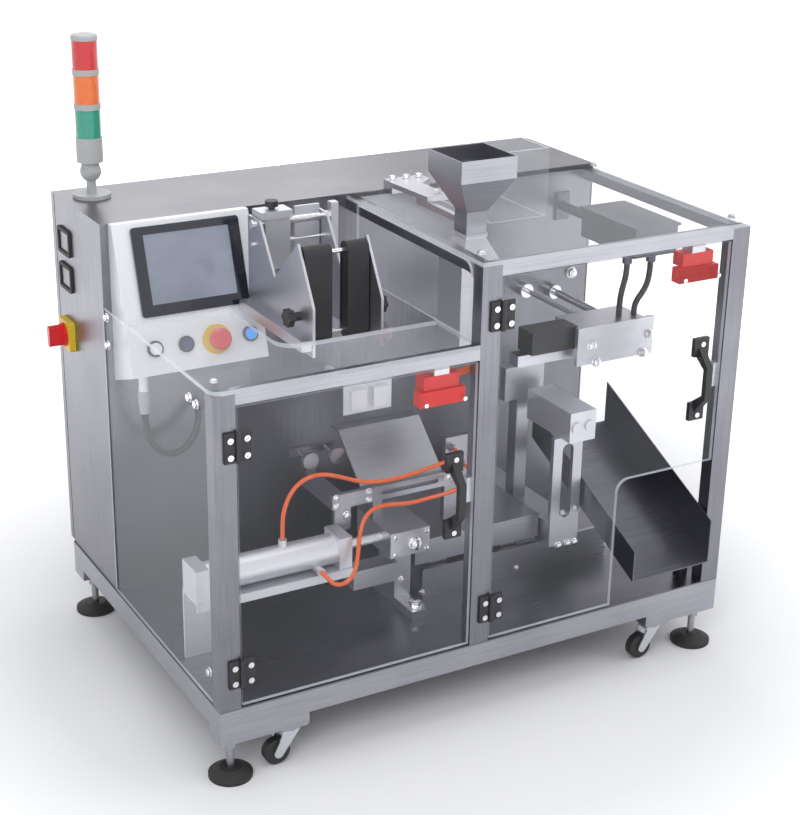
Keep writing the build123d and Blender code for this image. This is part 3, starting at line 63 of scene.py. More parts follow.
def place(x: float, y: float, z: float) -> Vector:
    """Turn machine millimetres into frame metres.

    Args:
        x: Distance from the base's left side.
        y: Distance from the base's front side.
        z: Height over the deck.

    Returns:
        The point in the frame, in metres.
    """
    return Vector((LEFT + x, FRONT + y, DECK + z)) * MM


class Grain(Enum):
    """The way a metal's brushing runs."""

    NONE = (1.0, 1.0, 1.0)
    ALONG_X = (0.02, 1.0, 1.0)
    ALONG_Y = (1.0, 0.02, 1.0)
    ALONG_Z = (1.0, 1.0, 0.02)


@dataclass(frozen=True)
class Finish:
    """One finish: its colour, how it varies and how it shines."""

    name: str
    colour: Triple
    shade: Triple
    roughness: float
    spread: float = 0.08
    metallic: float = 0.0
    grain: Grain = Grain.NONE
    scale: float = 60.0
    bump: float = 0.05
    depth: float = 0.0002
    smudge: float = 0.35
    coat: float = 0.0
    alpha: float = 1.0
    glow: float = 0.0
    veil: float = 0.0


# Painted shade: the upright steel is the same brushed steel as STEEL_X, with its colour
# darkened to the shade that the posts, cabinet and rear doors show.
STEEL_Z_PAINTED_SHADE = Finish("brushed steel upright with painted shade", (0.25, 0.25, 0.275), (0.16, 0.16, 0.185), 0.30,
                 metallic=1.0, grain=Grain.ALONG_Z, scale=420.0, bump=0.05)
STEEL_X = Finish("brushed steel across", (0.42, 0.42, 0.455), (0.28, 0.28, 0.315), 0.28,
                 metallic=1.0, grain=Grain.ALONG_X, scale=420.0, bump=0.05)
DARK_BOX = Finish("dark junction box", (0.13, 0.13, 0.15), (0.07, 0.07, 0.09), 0.30,
                  metallic=1.0, grain=Grain.ALONG_X, scale=300.0, bump=0.04)
DARK_SHEET = Finish("dark sheet steel", (0.20, 0.20, 0.23), (0.11, 0.11, 0.13), 0.26,
                    metallic=1.0, grain=Grain.ALONG_X, scale=300.0, bump=0.06)
MACHINED = Finish("machined aluminium", (0.60, 0.60, 0.64), (0.44, 0.44, 0.48), 0.34,
                  metallic=1.0, grain=Grain.ALONG_X, scale=500.0, bump=0.03)
ANODISED = Finish("anodised aluminium", (0.68, 0.69, 0.73), (0.56, 0.57, 0.61), 0.42,
                  metallic=0.85, scale=220.0, bump=0.02)
BRIGHT = Finish("ground shaft steel", (0.78, 0.78, 0.80), (0.62, 0.62, 0.65), 0.16,
                metallic=1.0, scale=200.0, bump=0.02)
CAST_ZINC = Finish("zinc fork", (0.66, 0.67, 0.70), (0.52, 0.53, 0.56), 0.36,
                   metallic=0.9, scale=160.0, bump=0.04)
WHITE_PAINT = Finish("pale panel paint", (0.80, 0.81, 0.84), (0.72, 0.73, 0.77), 0.36,
                     metallic=0.25, scale=300.0, bump=0.02, coat=0.2)
BLACK_PLASTIC = Finish("black moulded plastic", (0.012, 0.012, 0.014), (0.03, 0.03, 0.033),
                       0.42, scale=700.0, bump=0.10)
BLACK_GLOSS = Finish("black screen bezel", (0.010, 0.012, 0.020), (0.016, 0.018, 0.03),
                     0.16, scale=80.0, bump=0.0, coat=0.6)
BLACK_RUBBER = Finish("black rubber", (0.013, 0.013, 0.014), (0.03, 0.03, 0.03), 0.62,
                      scale=500.0, bump=0.14)
BELT = Finish("black belt", (0.010, 0.010, 0.012), (0.022, 0.022, 0.026), 0.55,
              grain=Grain.ALONG_X, scale=900.0, bump=0.20)
CABLE = Finish("black cable sheath", (0.010, 0.010, 0.012), (0.03, 0.03, 0.03), 0.45,
               scale=400.0, bump=0.08)
ORANGE = Finish("orange hose", (0.90, 0.14, 0.012), (0.70, 0.085, 0.006), 0.32,
                scale=200.0, bump=0.03, coat=0.3)
RED = Finish("red plastic", (0.72, 0.008, 0.012), (0.50, 0.004, 0.006), 0.30,
             scale=200.0, bump=0.02, coat=0.3)
SIGNAL_RED = Finish("signal red switch body", (0.80, 0.035, 0.03), (0.62, 0.02, 0.02), 0.38,
                    scale=300.0, bump=0.03)
YELLOW = Finish("yellow plastic", (0.76, 0.52, 0.025), (0.60, 0.38, 0.015), 0.36,
                scale=200.0, bump=0.02)
GREY_PLASTIC = Finish("grey plastic", (0.46, 0.47, 0.47), (0.38, 0.39, 0.40), 0.42,
                      scale=300.0, bump=0.04)
WHITE_PLASTIC = Finish("white plastic", (0.80, 0.81, 0.82), (0.72, 0.73, 0.75), 0.30,
                       scale=200.0, bump=0.02)
NAVY = Finish("dark blue cap", (0.022, 0.035, 0.13), (0.014, 0.022, 0.09), 0.28,
              scale=200.0, bump=0.02)
LIGHT_BLUE = Finish("light blue cap", (0.03, 0.33, 0.92), (0.02, 0.22, 0.72), 0.24,
                    scale=200.0, bump=0.02, glow=0.25)
SCREEN = Finish("resting display", (0.30, 0.33, 0.40), (0.20, 0.22, 0.28), 0.12,
                scale=6.0, bump=0.0, smudge=0.7, coat=0.5)
RED_LENS = Finish("red lens", (0.62, 0.006, 0.010), (0.42, 0.003, 0.006), 0.18,
                  scale=90.0, bump=0.0, coat=0.5, glow=0.12)
AMBER_LENS = Finish("amber lens", (0.82, 0.17, 0.008), (0.62, 0.10, 0.004), 0.18,
                    scale=90.0, bump=0.0, coat=0.5, glow=0.12)
GREEN_LENS = Finish("green lens", (0.006, 0.30, 0.20), (0.004, 0.20, 0.13), 0.18,
                    scale=90.0, bump=0.0, coat=0.5, glow=0.12)
CLEAR = Finish("clear sheet", (0.90, 0.93, 0.96), (0.84, 0.88, 0.92), 0.04, spread=0.02,
               scale=5.0, bump=0.0, alpha=0.015, veil=0.16)
# Painted highlight: the sheet edges get a paler, far less clear finish that stands in for the
# bright lines that light makes along them.
CLEAR_EDGE_PAINTED_HIGHLIGHT = Finish("clear sheet edge with painted highlight", (0.86, 0.90, 0.93), (0.70, 0.75, 0.80), 0.22,
                    scale=30.0, bump=0.0, alpha=0.55)


class GroupShop:
    """Builds the shared shader groups once and hands them out."""

    def __init__(self) -> None:
        """Start with no groups made."""
        self._made: dict[str, bpy.types.ShaderNodeTree] = {}

    def _new(self, name: str, inputs: Sequence[tuple[str, str, object]],
             outputs: Sequence[tuple[str, str]]) -> bpy.types.ShaderNodeTree:
        """Make an empty group with named sockets.

        Args:
            name: The group's name.
            inputs: Name, socket type and default of each input.
            outputs: Name and socket type of each output.

        Returns:
            The new node tree.
        """
        tree = bpy.data.node_groups.new(name, "ShaderNodeTree")
        for title, kind, value in inputs:
            made = tree.interface.new_socket(name=title, in_out="INPUT", socket_type=kind)
            made.default_value = value
        for title, kind in outputs:
            tree.interface.new_socket(name=title, in_out="OUTPUT", socket_type=kind)
        return tree

    def surface(self) -> bpy.types.ShaderNodeTree:
        """Give the group for a varied surface: colour, roughness and height.

        Returns:
            The node tree, built on the first call.
        """
        if "surface" in self._made:
            return self._made["surface"]
        tree = self._new(
            "varied surface",
            [
                ("Colour", "NodeSocketColor", (0.5, 0.5, 0.5, 1.0)),
                ("Shade", "NodeSocketColor", (0.4, 0.4, 0.4, 1.0)),
                ("Roughness", "NodeSocketFloat", 0.4),
                ("Spread", "NodeSocketFloat", 0.1),
                ("Smudge", "NodeSocketFloat", 0.3),
                ("Grain", "NodeSocketVector", (1.0, 1.0, 1.0)),
                ("Scale", "NodeSocketFloat", 50.0),
            ],
            [
                ("Colour", "NodeSocketColor"),
                ("Roughness", "NodeSocketFloat"),
                ("Height", "NodeSocketFloat"),
            ],
        )
        nodes, links = tree.nodes, tree.links
        given = nodes.new("NodeGroupInput")
        result = nodes.new("NodeGroupOutput")
        spot = nodes.new("ShaderNodeTexCoord")
        stretch = nodes.new("ShaderNodeVectorMath")
        stretch.operation = "MULTIPLY"
        links.new(spot.outputs["Object"], stretch.inputs[0])
        links.new(given.outputs["Grain"], stretch.inputs[1])
        fine = nodes.new("ShaderNodeTexNoise")
        fine.inputs["Detail"].default_value = 6.0
        fine.inputs["Roughness"].default_value = 0.6
        links.new(stretch.outputs["Vector"], fine.inputs["Vector"])
        links.new(given.outputs["Scale"], fine.inputs["Scale"])
        broad = nodes.new("ShaderNodeTexNoise")
        broad.inputs["Scale"].default_value = 7.0
        broad.inputs["Detail"].default_value = 4.0
        links.new(spot.outputs["Object"], broad.inputs["Vector"])
        cloud = nodes.new("ShaderNodeMapRange")
        cloud.inputs["From Min"].default_value = 0.35
        cloud.inputs["From Max"].default_value = 0.70
        links.new(broad.outputs["Fac"], cloud.inputs["Value"])
        weight = nodes.new("ShaderNodeMath")
        weight.operation = "MULTIPLY"
        links.new(cloud.outputs["Result"], weight.inputs[0])
        links.new(given.outputs["Smudge"], weight.inputs[1])
        streak = nodes.new("ShaderNodeMapRange")
        streak.inputs["From Min"].default_value = 0.30
        streak.inputs["From Max"].default_value = 0.75
        streak.inputs["To Max"].default_value = 0.55
        links.new(fine.outputs["Fac"], streak.inputs["Value"])
        total = nodes.new("ShaderNodeMath")
        total.operation = "ADD"
        total.use_clamp = True
        links.new(weight.outputs["Value"], total.inputs[0])
        links.new(streak.outputs["Result"], total.inputs[1])
        tint = nodes.new("ShaderNodeMix")
        tint.data_type = "RGBA"
        links.new(total.outputs["Value"], tint.inputs["Factor"])
        links.new(given.outputs["Colour"], tint.inputs["A"])
        links.new(given.outputs["Shade"], tint.inputs["B"])
        swing = nodes.new("ShaderNodeMath")
        swing.operation = "MULTIPLY_ADD"
        swing.use_clamp = True
        links.new(total.outputs["Value"], swing.inputs[0])
        links.new(given.outputs["Spread"], swing.inputs[1])
        links.new(given.outputs["Roughness"], swing.inputs[2])
        links.new(tint.outputs["Result"], result.inputs["Colour"])
        links.new(swing.outputs["Value"], result.inputs["Roughness"])
        links.new(fine.outputs["Fac"], result.inputs["Height"])
        self._made["surface"] = tree
        return tree


class FinishShop:
    """Turns finishes into materials, each made once."""

    def __init__(self) -> None:
        """Start with the shared groups and no materials."""
        self._groups = GroupShop()
        self._made: dict[str, bpy.types.Material] = {}

    def get(self, finish: Finish) -> bpy.types.Material:
        """Give the material of a finish.

        Args:
            finish: The finish wanted.

        Returns:
            Its material, built on the first call.
        """
        if finish.name in self._made:
            return self._made[finish.name]
        material = bpy.data.materials.new(finish.name.replace(" ", "_"))
        material.use_nodes = True
        nodes, links = material.node_tree.nodes, material.node_tree.links
        shader = nodes["Principled BSDF"]
        surface = nodes.new("ShaderNodeGroup")
        surface.node_tree = self._groups.surface()
        surface.inputs["Colour"].default_value = (*finish.colour, 1.0)
        surface.inputs["Shade"].default_value = (*finish.shade, 1.0)
        surface.inputs["Roughness"].default_value = finish.roughness
        surface.inputs["Spread"].default_value = finish.spread
        surface.inputs["Smudge"].default_value = finish.smudge
        surface.inputs["Grain"].default_value = finish.grain.value
        surface.inputs["Scale"].default_value = finish.scale
        links.new(surface.outputs["Colour"], shader.inputs["Base Color"])
        links.new(surface.outputs["Roughness"], shader.inputs["Roughness"])
        if finish.bump > 0.0:
            bump = nodes.new("ShaderNodeBump")
            bump.inputs["Strength"].default_value = finish.bump
            bump.inputs["Distance"].default_value = finish.depth
            links.new(surface.outputs["Height"], bump.inputs["Height"])
            links.new(bump.outputs["Normal"], shader.inputs["Normal"])
        shader.inputs["Metallic"].default_value = finish.metallic
        shader.inputs["Coat Weight"].default_value = finish.coat
        shader.inputs["Alpha"].default_value = finish.alpha
        if finish.veil > 0.0:
            self.thicken(nodes, links, finish)
        if finish.glow > 0.0:
            links.new(surface.outputs["Colour"], shader.inputs["Emission Color"])
            shader.inputs["Emission Strength"].default_value = finish.glow
        self._made[finish.name] = material
        return material

    @staticmethod
    def thicken(nodes: bpy.types.Nodes, links: bpy.types.NodeLinks, finish: Finish) -> None:
        """Make a clear sheet show more where it is seen at a low angle.

        Args:
            nodes: The material's nodes.
            links: The material's links.
            finish: The finish, with its least alpha and the veil added to it.
        """
        angle = nodes.new("ShaderNodeLayerWeight")
        angle.inputs["Blend"].default_value = 0.25
        share = nodes.new("ShaderNodeMath")
        share.operation = "MULTIPLY_ADD"
        share.inputs[1].default_value = finish.veil
        share.inputs[2].default_value = finish.alpha
        links.new(angle.outputs["Fresnel"], share.inputs[0])
        links.new(share.outputs["Value"], nodes["Principled BSDF"].inputs["Alpha"])


FINISHES = FinishShop()
Chooser = Callable[[Vector, Vector], int]


def dress(node: bpy.types.Object, *finishes: Finish, choose: Optional[Chooser] = None) -> None:
    """Give a CAD node its finishes.

    Args:
        node: The node's object.
        finishes: The finishes, in the order of their numbers.
        choose: Picks a finish number from a face's centre and normal.
    """
    node.data.materials.clear()
    for finish in finishes:
        node.data.materials.append(FINISHES.get(finish))
    for polygon in node.data.polygons:
        polygon.material_index = choose(polygon.center, polygon.normal) if choose else 0


def publish(shape: bmesh.types.BMesh, name: str, finish: Finish, body: str,
            smooth: bool = True) -> bpy.types.Object:
    """Make a finished piece from a bmesh and let it ride on its body.

    Args:
        shape: The piece's shape, in frame metres.
        name: The piece's name.
        finish: Its finish.
        body: The CAD body that carries it.
        smooth: Whether its round faces are shaded smooth.

    Returns:
        The new object.
    """
    mesh = bpy.data.meshes.new(name)
    shape.to_mesh(mesh)
    shape.free()
    mesh.materials.append(FINISHES.get(finish))
    piece = bpy.data.objects.new(name, mesh)
    bpy.context.scene.collection.objects.link(piece)
    if smooth:
        mesh.shade_smooth()
        mesh.set_sharp_from_angle(angle=math.radians(32.0))
    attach(piece, body)
    LOG.info("made %s with %d faces", name, len(mesh.polygons))
    return piece


def aim(direction: Vector) -> Matrix:
    """Give the turn that takes +Z to a direction.

    Args:
        direction: Where +Z has to point.

    Returns:
        The rotation as a 4 x 4 matrix.
    """
    return Vector((0.0, 0.0, 1.0)).rotation_difference(direction).to_matrix().to_4x4()


def add_box(shape: bmesh.types.BMesh, low: Vector, high: Vector, edge: float = 0.0) -> None:
    """Add a box with eased edges to a shape.

    Args:
        shape: The bmesh that receives it.
        low: Its lowest corner.
        high: Its highest corner.
        edge: The width of its eased edges, in metres.
    """
    size = high - low
    middle = Matrix.Translation((low + high) / 2)
    made = bmesh.ops.create_cube(shape, size=1.0, matrix=middle @ Matrix.Diagonal((*size, 1.0)))
    if edge > 0.0:
        edges = list({e for v in made["verts"] for e in v.link_edges})
        bmesh.ops.bevel(shape, geom=edges, offset=edge, segments=2, profile=0.5,
                        affect="EDGES", material=-1)


def add_round(shape: bmesh.types.BMesh, base: Vector, direction: Vector, radius: float,
              height: float, sides: int = 24, edge: float = 0.0,
              top: Optional[float] = None) -> None:
    """Add a round bar or a cone with an eased top to a shape.

    Args:
        shape: The bmesh that receives it.
        base: The centre of its foot.
        direction: The way it stands.
        radius: Its radius at the foot.
        height: Its height.
        sides: How many sides it has.
        edge: The width of its eased rims.
        top: Its radius at the top, where that differs.
    """
    middle = Matrix.Translation(base) @ aim(direction) @ Matrix.Translation((0, 0, height / 2))
    made = bmesh.ops.create_cone(
        shape, cap_ends=True, segments=sides, radius1=radius,
        radius2=radius if top is None else top, depth=height, matrix=middle)
    if edge > 0.0:
        rims = list({e for v in made["verts"] for e in v.link_edges
                     if len([f for f in e.link_faces if len(f.verts) > 4]) == 1})
        bmesh.ops.bevel(shape, geom=rims, offset=edge, segments=2, profile=0.5,
                        affect="EDGES", material=-1)


def add_bolt(shape: bmesh.types.BMesh, base: Vector, direction: Vector, size: float,
             washer: bool = True) -> None:
    """Add a hexagon bolt head on its washer.

    Args:
        shape: The bmesh that receives it.
        base: The point on the face that it holds.
        direction: The face's outward normal.
        size: The thread's diameter, in metres.
        washer: Whether a washer lies under it.
    """
    lift = 0.0
    if washer:
        add_round(shape, base, direction, size * 1.05, size * 0.18, 28, size * 0.05)
        lift = size * 0.18
    add_round(shape, base + direction * lift, direction, size * 0.88, size * 0.62, 6,
              size * 0.09)
    add_round(shape, base + direction * (lift + size * 0.62), direction, size * 0.42,
              size * 0.14, 20, size * 0.05)


def add_socket_screw(shape: bmesh.types.BMesh, base: Vector, direction: Vector,
                     size: float) -> None:
    """Add a round socket screw head with its hexagon recess.

    Args:
        shape: The bmesh that receives it.
        base: The point on the face that it holds.
        direction: The face's outward normal.
        size: The head's diameter, in metres.
    """
    turn = Matrix.Translation(base) @ aim(direction)
    made = bmesh.ops.create_cone(
        shape, cap_ends=True, segments=24, radius1=size / 2, radius2=size / 2,
        depth=size * 0.42, matrix=turn @ Matrix.Translation((0, 0, size * 0.21)))
    caps = [f for f in {f for v in made["verts"] for f in v.link_faces} if len(f.verts) > 4]
    top = max(caps, key=lambda f: f.calc_center_median().dot(direction))
    bmesh.ops.inset_region(shape, faces=[top], thickness=size * 0.22)
    pushed = bmesh.ops.extrude_face_region(shape, geom=[top])
    verts = [v for v in pushed["geom"] if isinstance(v, bmesh.types.BMVert)]
    bmesh.ops.translate(shape, verts=verts, vec=-direction * size * 0.2)
    bmesh.ops.delete(shape, geom=[top], context="FACES_ONLY")


@dataclass
class Sheets:
    """The clear sheets: doors, side panels, top sheets and the hopper's shield."""

    nodes: dict[str, bpy.types.Object]
    edge_limit: float = 0.9

    def dress(self) -> None:
        """Give each sheet clear faces and edges with a painted highlight: a paler, more opaque
        finish for the bright lines that light makes along them.
        """
        flat = {
            "left_door": Vector((0, 1, 0)),
            "right_door": Vector((0, 1, 0)),
            "side_panels": Vector((1, 0, 0)),
            "top_sheets": Vector((0, 0, 1)),
        }
        for name, across in flat.items():
            limit = self.edge_limit
            dress(self.nodes[name], CLEAR, CLEAR_EDGE_PAINTED_HIGHLIGHT,
                  choose=lambda c, n, a=across: 0 if abs(n.dot(a)) > limit else 1)
        dress(self.nodes["hopper_shield"], CLEAR, CLEAR_EDGE_PAINTED_HIGHLIGHT,
              choose=lambda c, n: 1 if abs(n.z) > limit else 0)
        LOG.info("dressed the clear sheets")


@dataclass
class Steelwork:
    """The base, guard frame, cabinet, platform and chute."""

    nodes: dict[str, bpy.types.Object]
    # Painted shade: posts, cabinet and rear doors take the darkened steel copy; the hopper
    # takes the lighter copy because it looks brighter.
    finishes: dict[str, Finish] = field(default_factory=lambda: {
        "base_frame": STEEL_X, "floor_sheet": DARK_SHEET, "mounting_bars": STEEL_X,
        "guard_posts": STEEL_Z_PAINTED_SHADE, "guard_rails": STEEL_X, "control_cabinet": STEEL_Z_PAINTED_SHADE,
        "rear_doors": STEEL_Z_PAINTED_SHADE, "hopper": STEEL_X, "hopper_bracket": MACHINED,
        "junction_box": DARK_BOX, "chute": DARK_SHEET, "platform": STEEL_X,
        "carriage_head": MACHINED, "grip_cylinder": ANODISED,
        "transfer_supports": MACHINED, "air_cylinder": ANODISED, "clamp_unit": MACHINED,
        "forming_plates": STEEL_X, "magazine_plates": MACHINED, "magazine_shafts": BRIGHT,
        "guide_shafts": BRIGHT, "cabinet_seals": BLACK_RUBBER, "foot_pads": BLACK_RUBBER,
        "magazine_belts": BELT, "magazine_knobs": BLACK_PLASTIC,
    })

    def dress(self) -> None:
        """Give each steel or plastic node its plain finish."""
        for name, finish in self.finishes.items():
            dress(self.nodes[name], finish)
        dress(self.nodes["magazine_shafts"], BRIGHT, ANODISED,
              choose=lambda c, n: 1 if max(abs(v) for v in n) > 0.9995 else 0)
        pad_side, pad_level = place(857, 0, 0).x, place(0, 0, 455).z
        dress(self.nodes["carriage_head"], MACHINED, BLACK_PLASTIC,
              choose=lambda c, n: 1 if c.x < pad_side and c.z > pad_level else 0)
        for name, node in self.nodes.items():
            if name.startswith("castor_fork"):
                dress(node, CAST_ZINC)
            if name.startswith("castor_wheel"):
                dress(node, BLACK_RUBBER)
        LOG.info("dressed the steelwork")


@dataclass(frozen=True)
class DoorSpots:
    """Where one door's screws sit, in machine millimetres."""

    body: str
    pin: float
    hinges: tuple[float, float]
    handle: tuple[float, tuple[float, float]]
    key: tuple[float, float]


@dataclass
class Fasteners:
    """The visible bolts and screws, by the body that carries them."""

    hinge_screw: float = 0.011
    handle_screw: float = 0.010
    key_screw: float = 0.008
    sheet_bolt: float = 0.008
    low_sheet_bolt: float = 0.0064
    carriage_bolt: float = 0.010
    foot_bolt: float = 0.008
    small_bolt: float = 0.006
    clamp_bolt: float = 0.013
    rail_bolt: float = 0.014
    web_bolt: float = 0.007
    wall_bolt: float = 0.012
    hinge_face: float = -5.0
    handle_face: float = -9.0
    key_reach: float = 39.0
    leaf_reach: float = 15.0
    hinge_rises: tuple[float, float] = (12.0, 42.0)
    doors: tuple[DoorSpots, ...] = (
        DoorSpots("left_door", 41.5, (43, 466), (455, (248, 391)), (436, 500)),
        DoorSpots("right_door", 545.5, (43, 615), (991, (377, 520)), (983, 648)),
    )

    def door_screws(self, door: DoorSpots) -> None:
        """Make the screws of one door's hinges, handle and switch key.

        Args:
            door: Where they sit.
        """
        front = Vector((0, -1, 0))
        fixed, moving = bmesh.new(), bmesh.new()
        for bottom in door.hinges:
            for rise in self.hinge_rises:
                for shape, side in ((fixed, -1), (moving, 1)):
                    spot = place(door.pin + side * self.leaf_reach, self.hinge_face,
                                 bottom + rise)
                    add_socket_screw(shape, spot, front, self.hinge_screw)
        middle, levels = door.handle
        for level in levels:
            add_socket_screw(moving, place(middle, self.handle_face, level), front,
                             self.handle_screw)
        key, level = door.key
        for side in (-1, 1):
            add_socket_screw(moving, place(key + side * self.key_reach, 0, level), front,
                             self.key_screw)
        publish(fixed, f"{door.body}_post_screws", BRIGHT, "frame")
        publish(moving, f"{door.body}_leaf_screws", BRIGHT, door.body)

    def frame_bolts(self) -> None:
        """Make the bolts of the frame, sheets, carriage, clamp and platform."""
        front, up, aside = Vector((0, -1, 0)), Vector((0, 0, 1)), Vector((-1, 0, 0))
        bolts = bmesh.new()
        rows = (
            (up, self.sheet_bolt, ((529, 48, 741), (1079, 486, 741), (1078, 41, 741),
                                   (603, 494, 763), (631, 490, 763), (658, 488, 763),
                                   (628, 366, 763))),
            (up, self.low_sheet_bolt, ((23, 45, 593),)),
            (aside, self.sheet_bolt, ((0, 92, 554), (0, 63, 552), (0, 475, 575),
                                      (0, 474, 522), (0, 38, 63))),
            (front, self.carriage_bolt, ((889, 200, 466), (902, 200, 430),
                                         (1030, 200, 467), (1017, 200, 430))),
            (front, self.foot_bolt, ((808, 160, 66), (830, 160, 66), (846, 160, 66))),
            (front, self.small_bolt, ((816, 160, 137), (846, 160, 140), (517, 200, 13),
                                      (738, 200, 13), (953, 200, 15), (328, 200, 257),
                                      (328, 200, 239), (396, 200, 256), (396, 200, 239),
                                      (567, 200, 249))),
            (front, self.foot_bolt, ((354, 210, 212),)),
            (front, self.web_bolt, ((467, 199, 54),)),
            (front, self.clamp_bolt, ((457, 130, 165),)),
            (up, self.rail_bolt, ((473, 150, 18),)),
            (front, self.wall_bolt, ((1046, 500, 509),)),
        )
        for direction, size, spots in rows:
            for spot in spots:
                add_bolt(bolts, place(*spot), direction, size)
        for x in (414, 482):
            for z in (150, 186):
                add_bolt(bolts, place(x, 130, z), front, self.small_bolt, washer=False)
        publish(bolts, "frame_bolts", BRIGHT, "frame")

    def build(self) -> None:
        """Make the bolts and screws of the frame and of both doors."""
        for door in self.doors:
            self.door_screws(door)
        self.frame_bolts()


@dataclass
class Cord:
    """One cable or hose: its route in machine millimetres and how it is held."""

    name: str
    route: Sequence[Triple]
    diameter: float
    finish: Finish
    slot: str
    stiffness: str = "medium"

    def build(self) -> bpy.types.Object:
        """Returns:
            The curve's object.
        """
        curve = bpy.data.curves.new(self.name, "CURVE")
        curve.dimensions = "3D"
        curve.bevel_depth = self.diameter / 2 * MM
        curve.bevel_resolution = 6
        curve.resolution_u = 10
        curve.use_fill_caps = True
        spline = curve.splines.new("NURBS")
        spline.points.add(len(self.route) - 1)
        points = [place(*spot) for spot in self.route]
        for knot, spot in zip(spline.points, points):
            knot.co = (*spot, 1.0)
        spline.order_u = 3
        spline.use_endpoint_u = True
        curve.materials.append(FINISHES.get(self.finish))
        piece = bpy.data.objects.new(self.name + "_run", curve)
        bpy.context.scene.collection.objects.link(piece)
        length = self.measure(piece)
        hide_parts(self.name)
        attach(piece, "frame")
        LOG.info("made %s, %.3f m long", self.name, length)
        return piece

    def measure(self, piece: bpy.types.Object) -> float:
        """Measure the smooth line's length.

        Args:
            piece: The curve's object.

        Returns:
            The length in metres.
        """
        depth = piece.data.bevel_depth
        piece.data.bevel_depth = 0.0
        bpy.context.view_layer.update()
        line = bpy.data.meshes.new_from_object(piece)
        spots = [v.co.copy() for v in line.vertices]
        piece.data.bevel_depth = depth
        bpy.data.meshes.remove(line)
        return sum((b - a).length for a, b in zip(spots, spots[1:]))


CORDS = (
    Cord("hmi_cable", ((47, 430, 395), (47, 430, 368), (58, 430, 330), (84, 431, 303),
                       (120, 436, 300), (148, 444, 318), (164, 456, 346), (173, 474, 368),
                       (173, 500, 368)), 13, CABLE, "cable_black"),
    Cord("carriage_cable_left", ((990, 235, 611), (990, 235, 585), (985, 238, 560),
                                 (984, 243, 530), (984, 243, 498)), 12, CABLE,
         "cable_black"),
    Cord("carriage_cable_right", ((1040, 225, 611), (1040, 225, 582), (1035, 229, 554),
                                  (1022, 238, 528), (1019, 240, 512), (1019, 240, 498)),
         12, CABLE, "cable_black"),
    Cord("upper_air_tube", ((203, 170, 213), (203, 170, 240), (208, 175, 268),
                            (226, 181, 298), (254, 184, 317), (290, 186, 319),
                            (326, 187, 306), (360, 188, 290), (398, 188, 278),
                            (446, 188, 275), (496, 189, 279), (544, 192, 284),
                            (582, 202, 284), (606, 218, 280), (614, 236, 278),
                            (614, 250, 278)), 8, ORANGE, "orange"),
    Cord("lower_air_tube", ((638, 250, 240), (638, 226, 240), (622, 196, 239),
                            (588, 172, 237), (546, 158, 238), (500, 150, 241),
                            (458, 147, 240), (416, 146, 247), (380, 143, 251),
                            (353, 137, 238), (339, 129, 208), (332, 120, 174),
                            (322, 112, 144), (300, 104, 130), (276, 104, 132),
                            (262, 110, 150), (262, 129, 150)), 8, ORANGE, "orange"),
    Cord("hose_bundle", ((541, 500, 704), (541, 440, 704), (542, 340, 701),
                         (540, 280, 704), (541, 200, 699), (540, 132, 702),
                         (541, 88, 699), (540, 60, 682), (539, 48, 650),
                         (541, 46, 618), (541, 45, 571.5), (528, 41, 548.5),
                         (500, 37, 532.5), (474, 37, 532.5)), 14, ORANGE, "orange",
         "limp"),
)


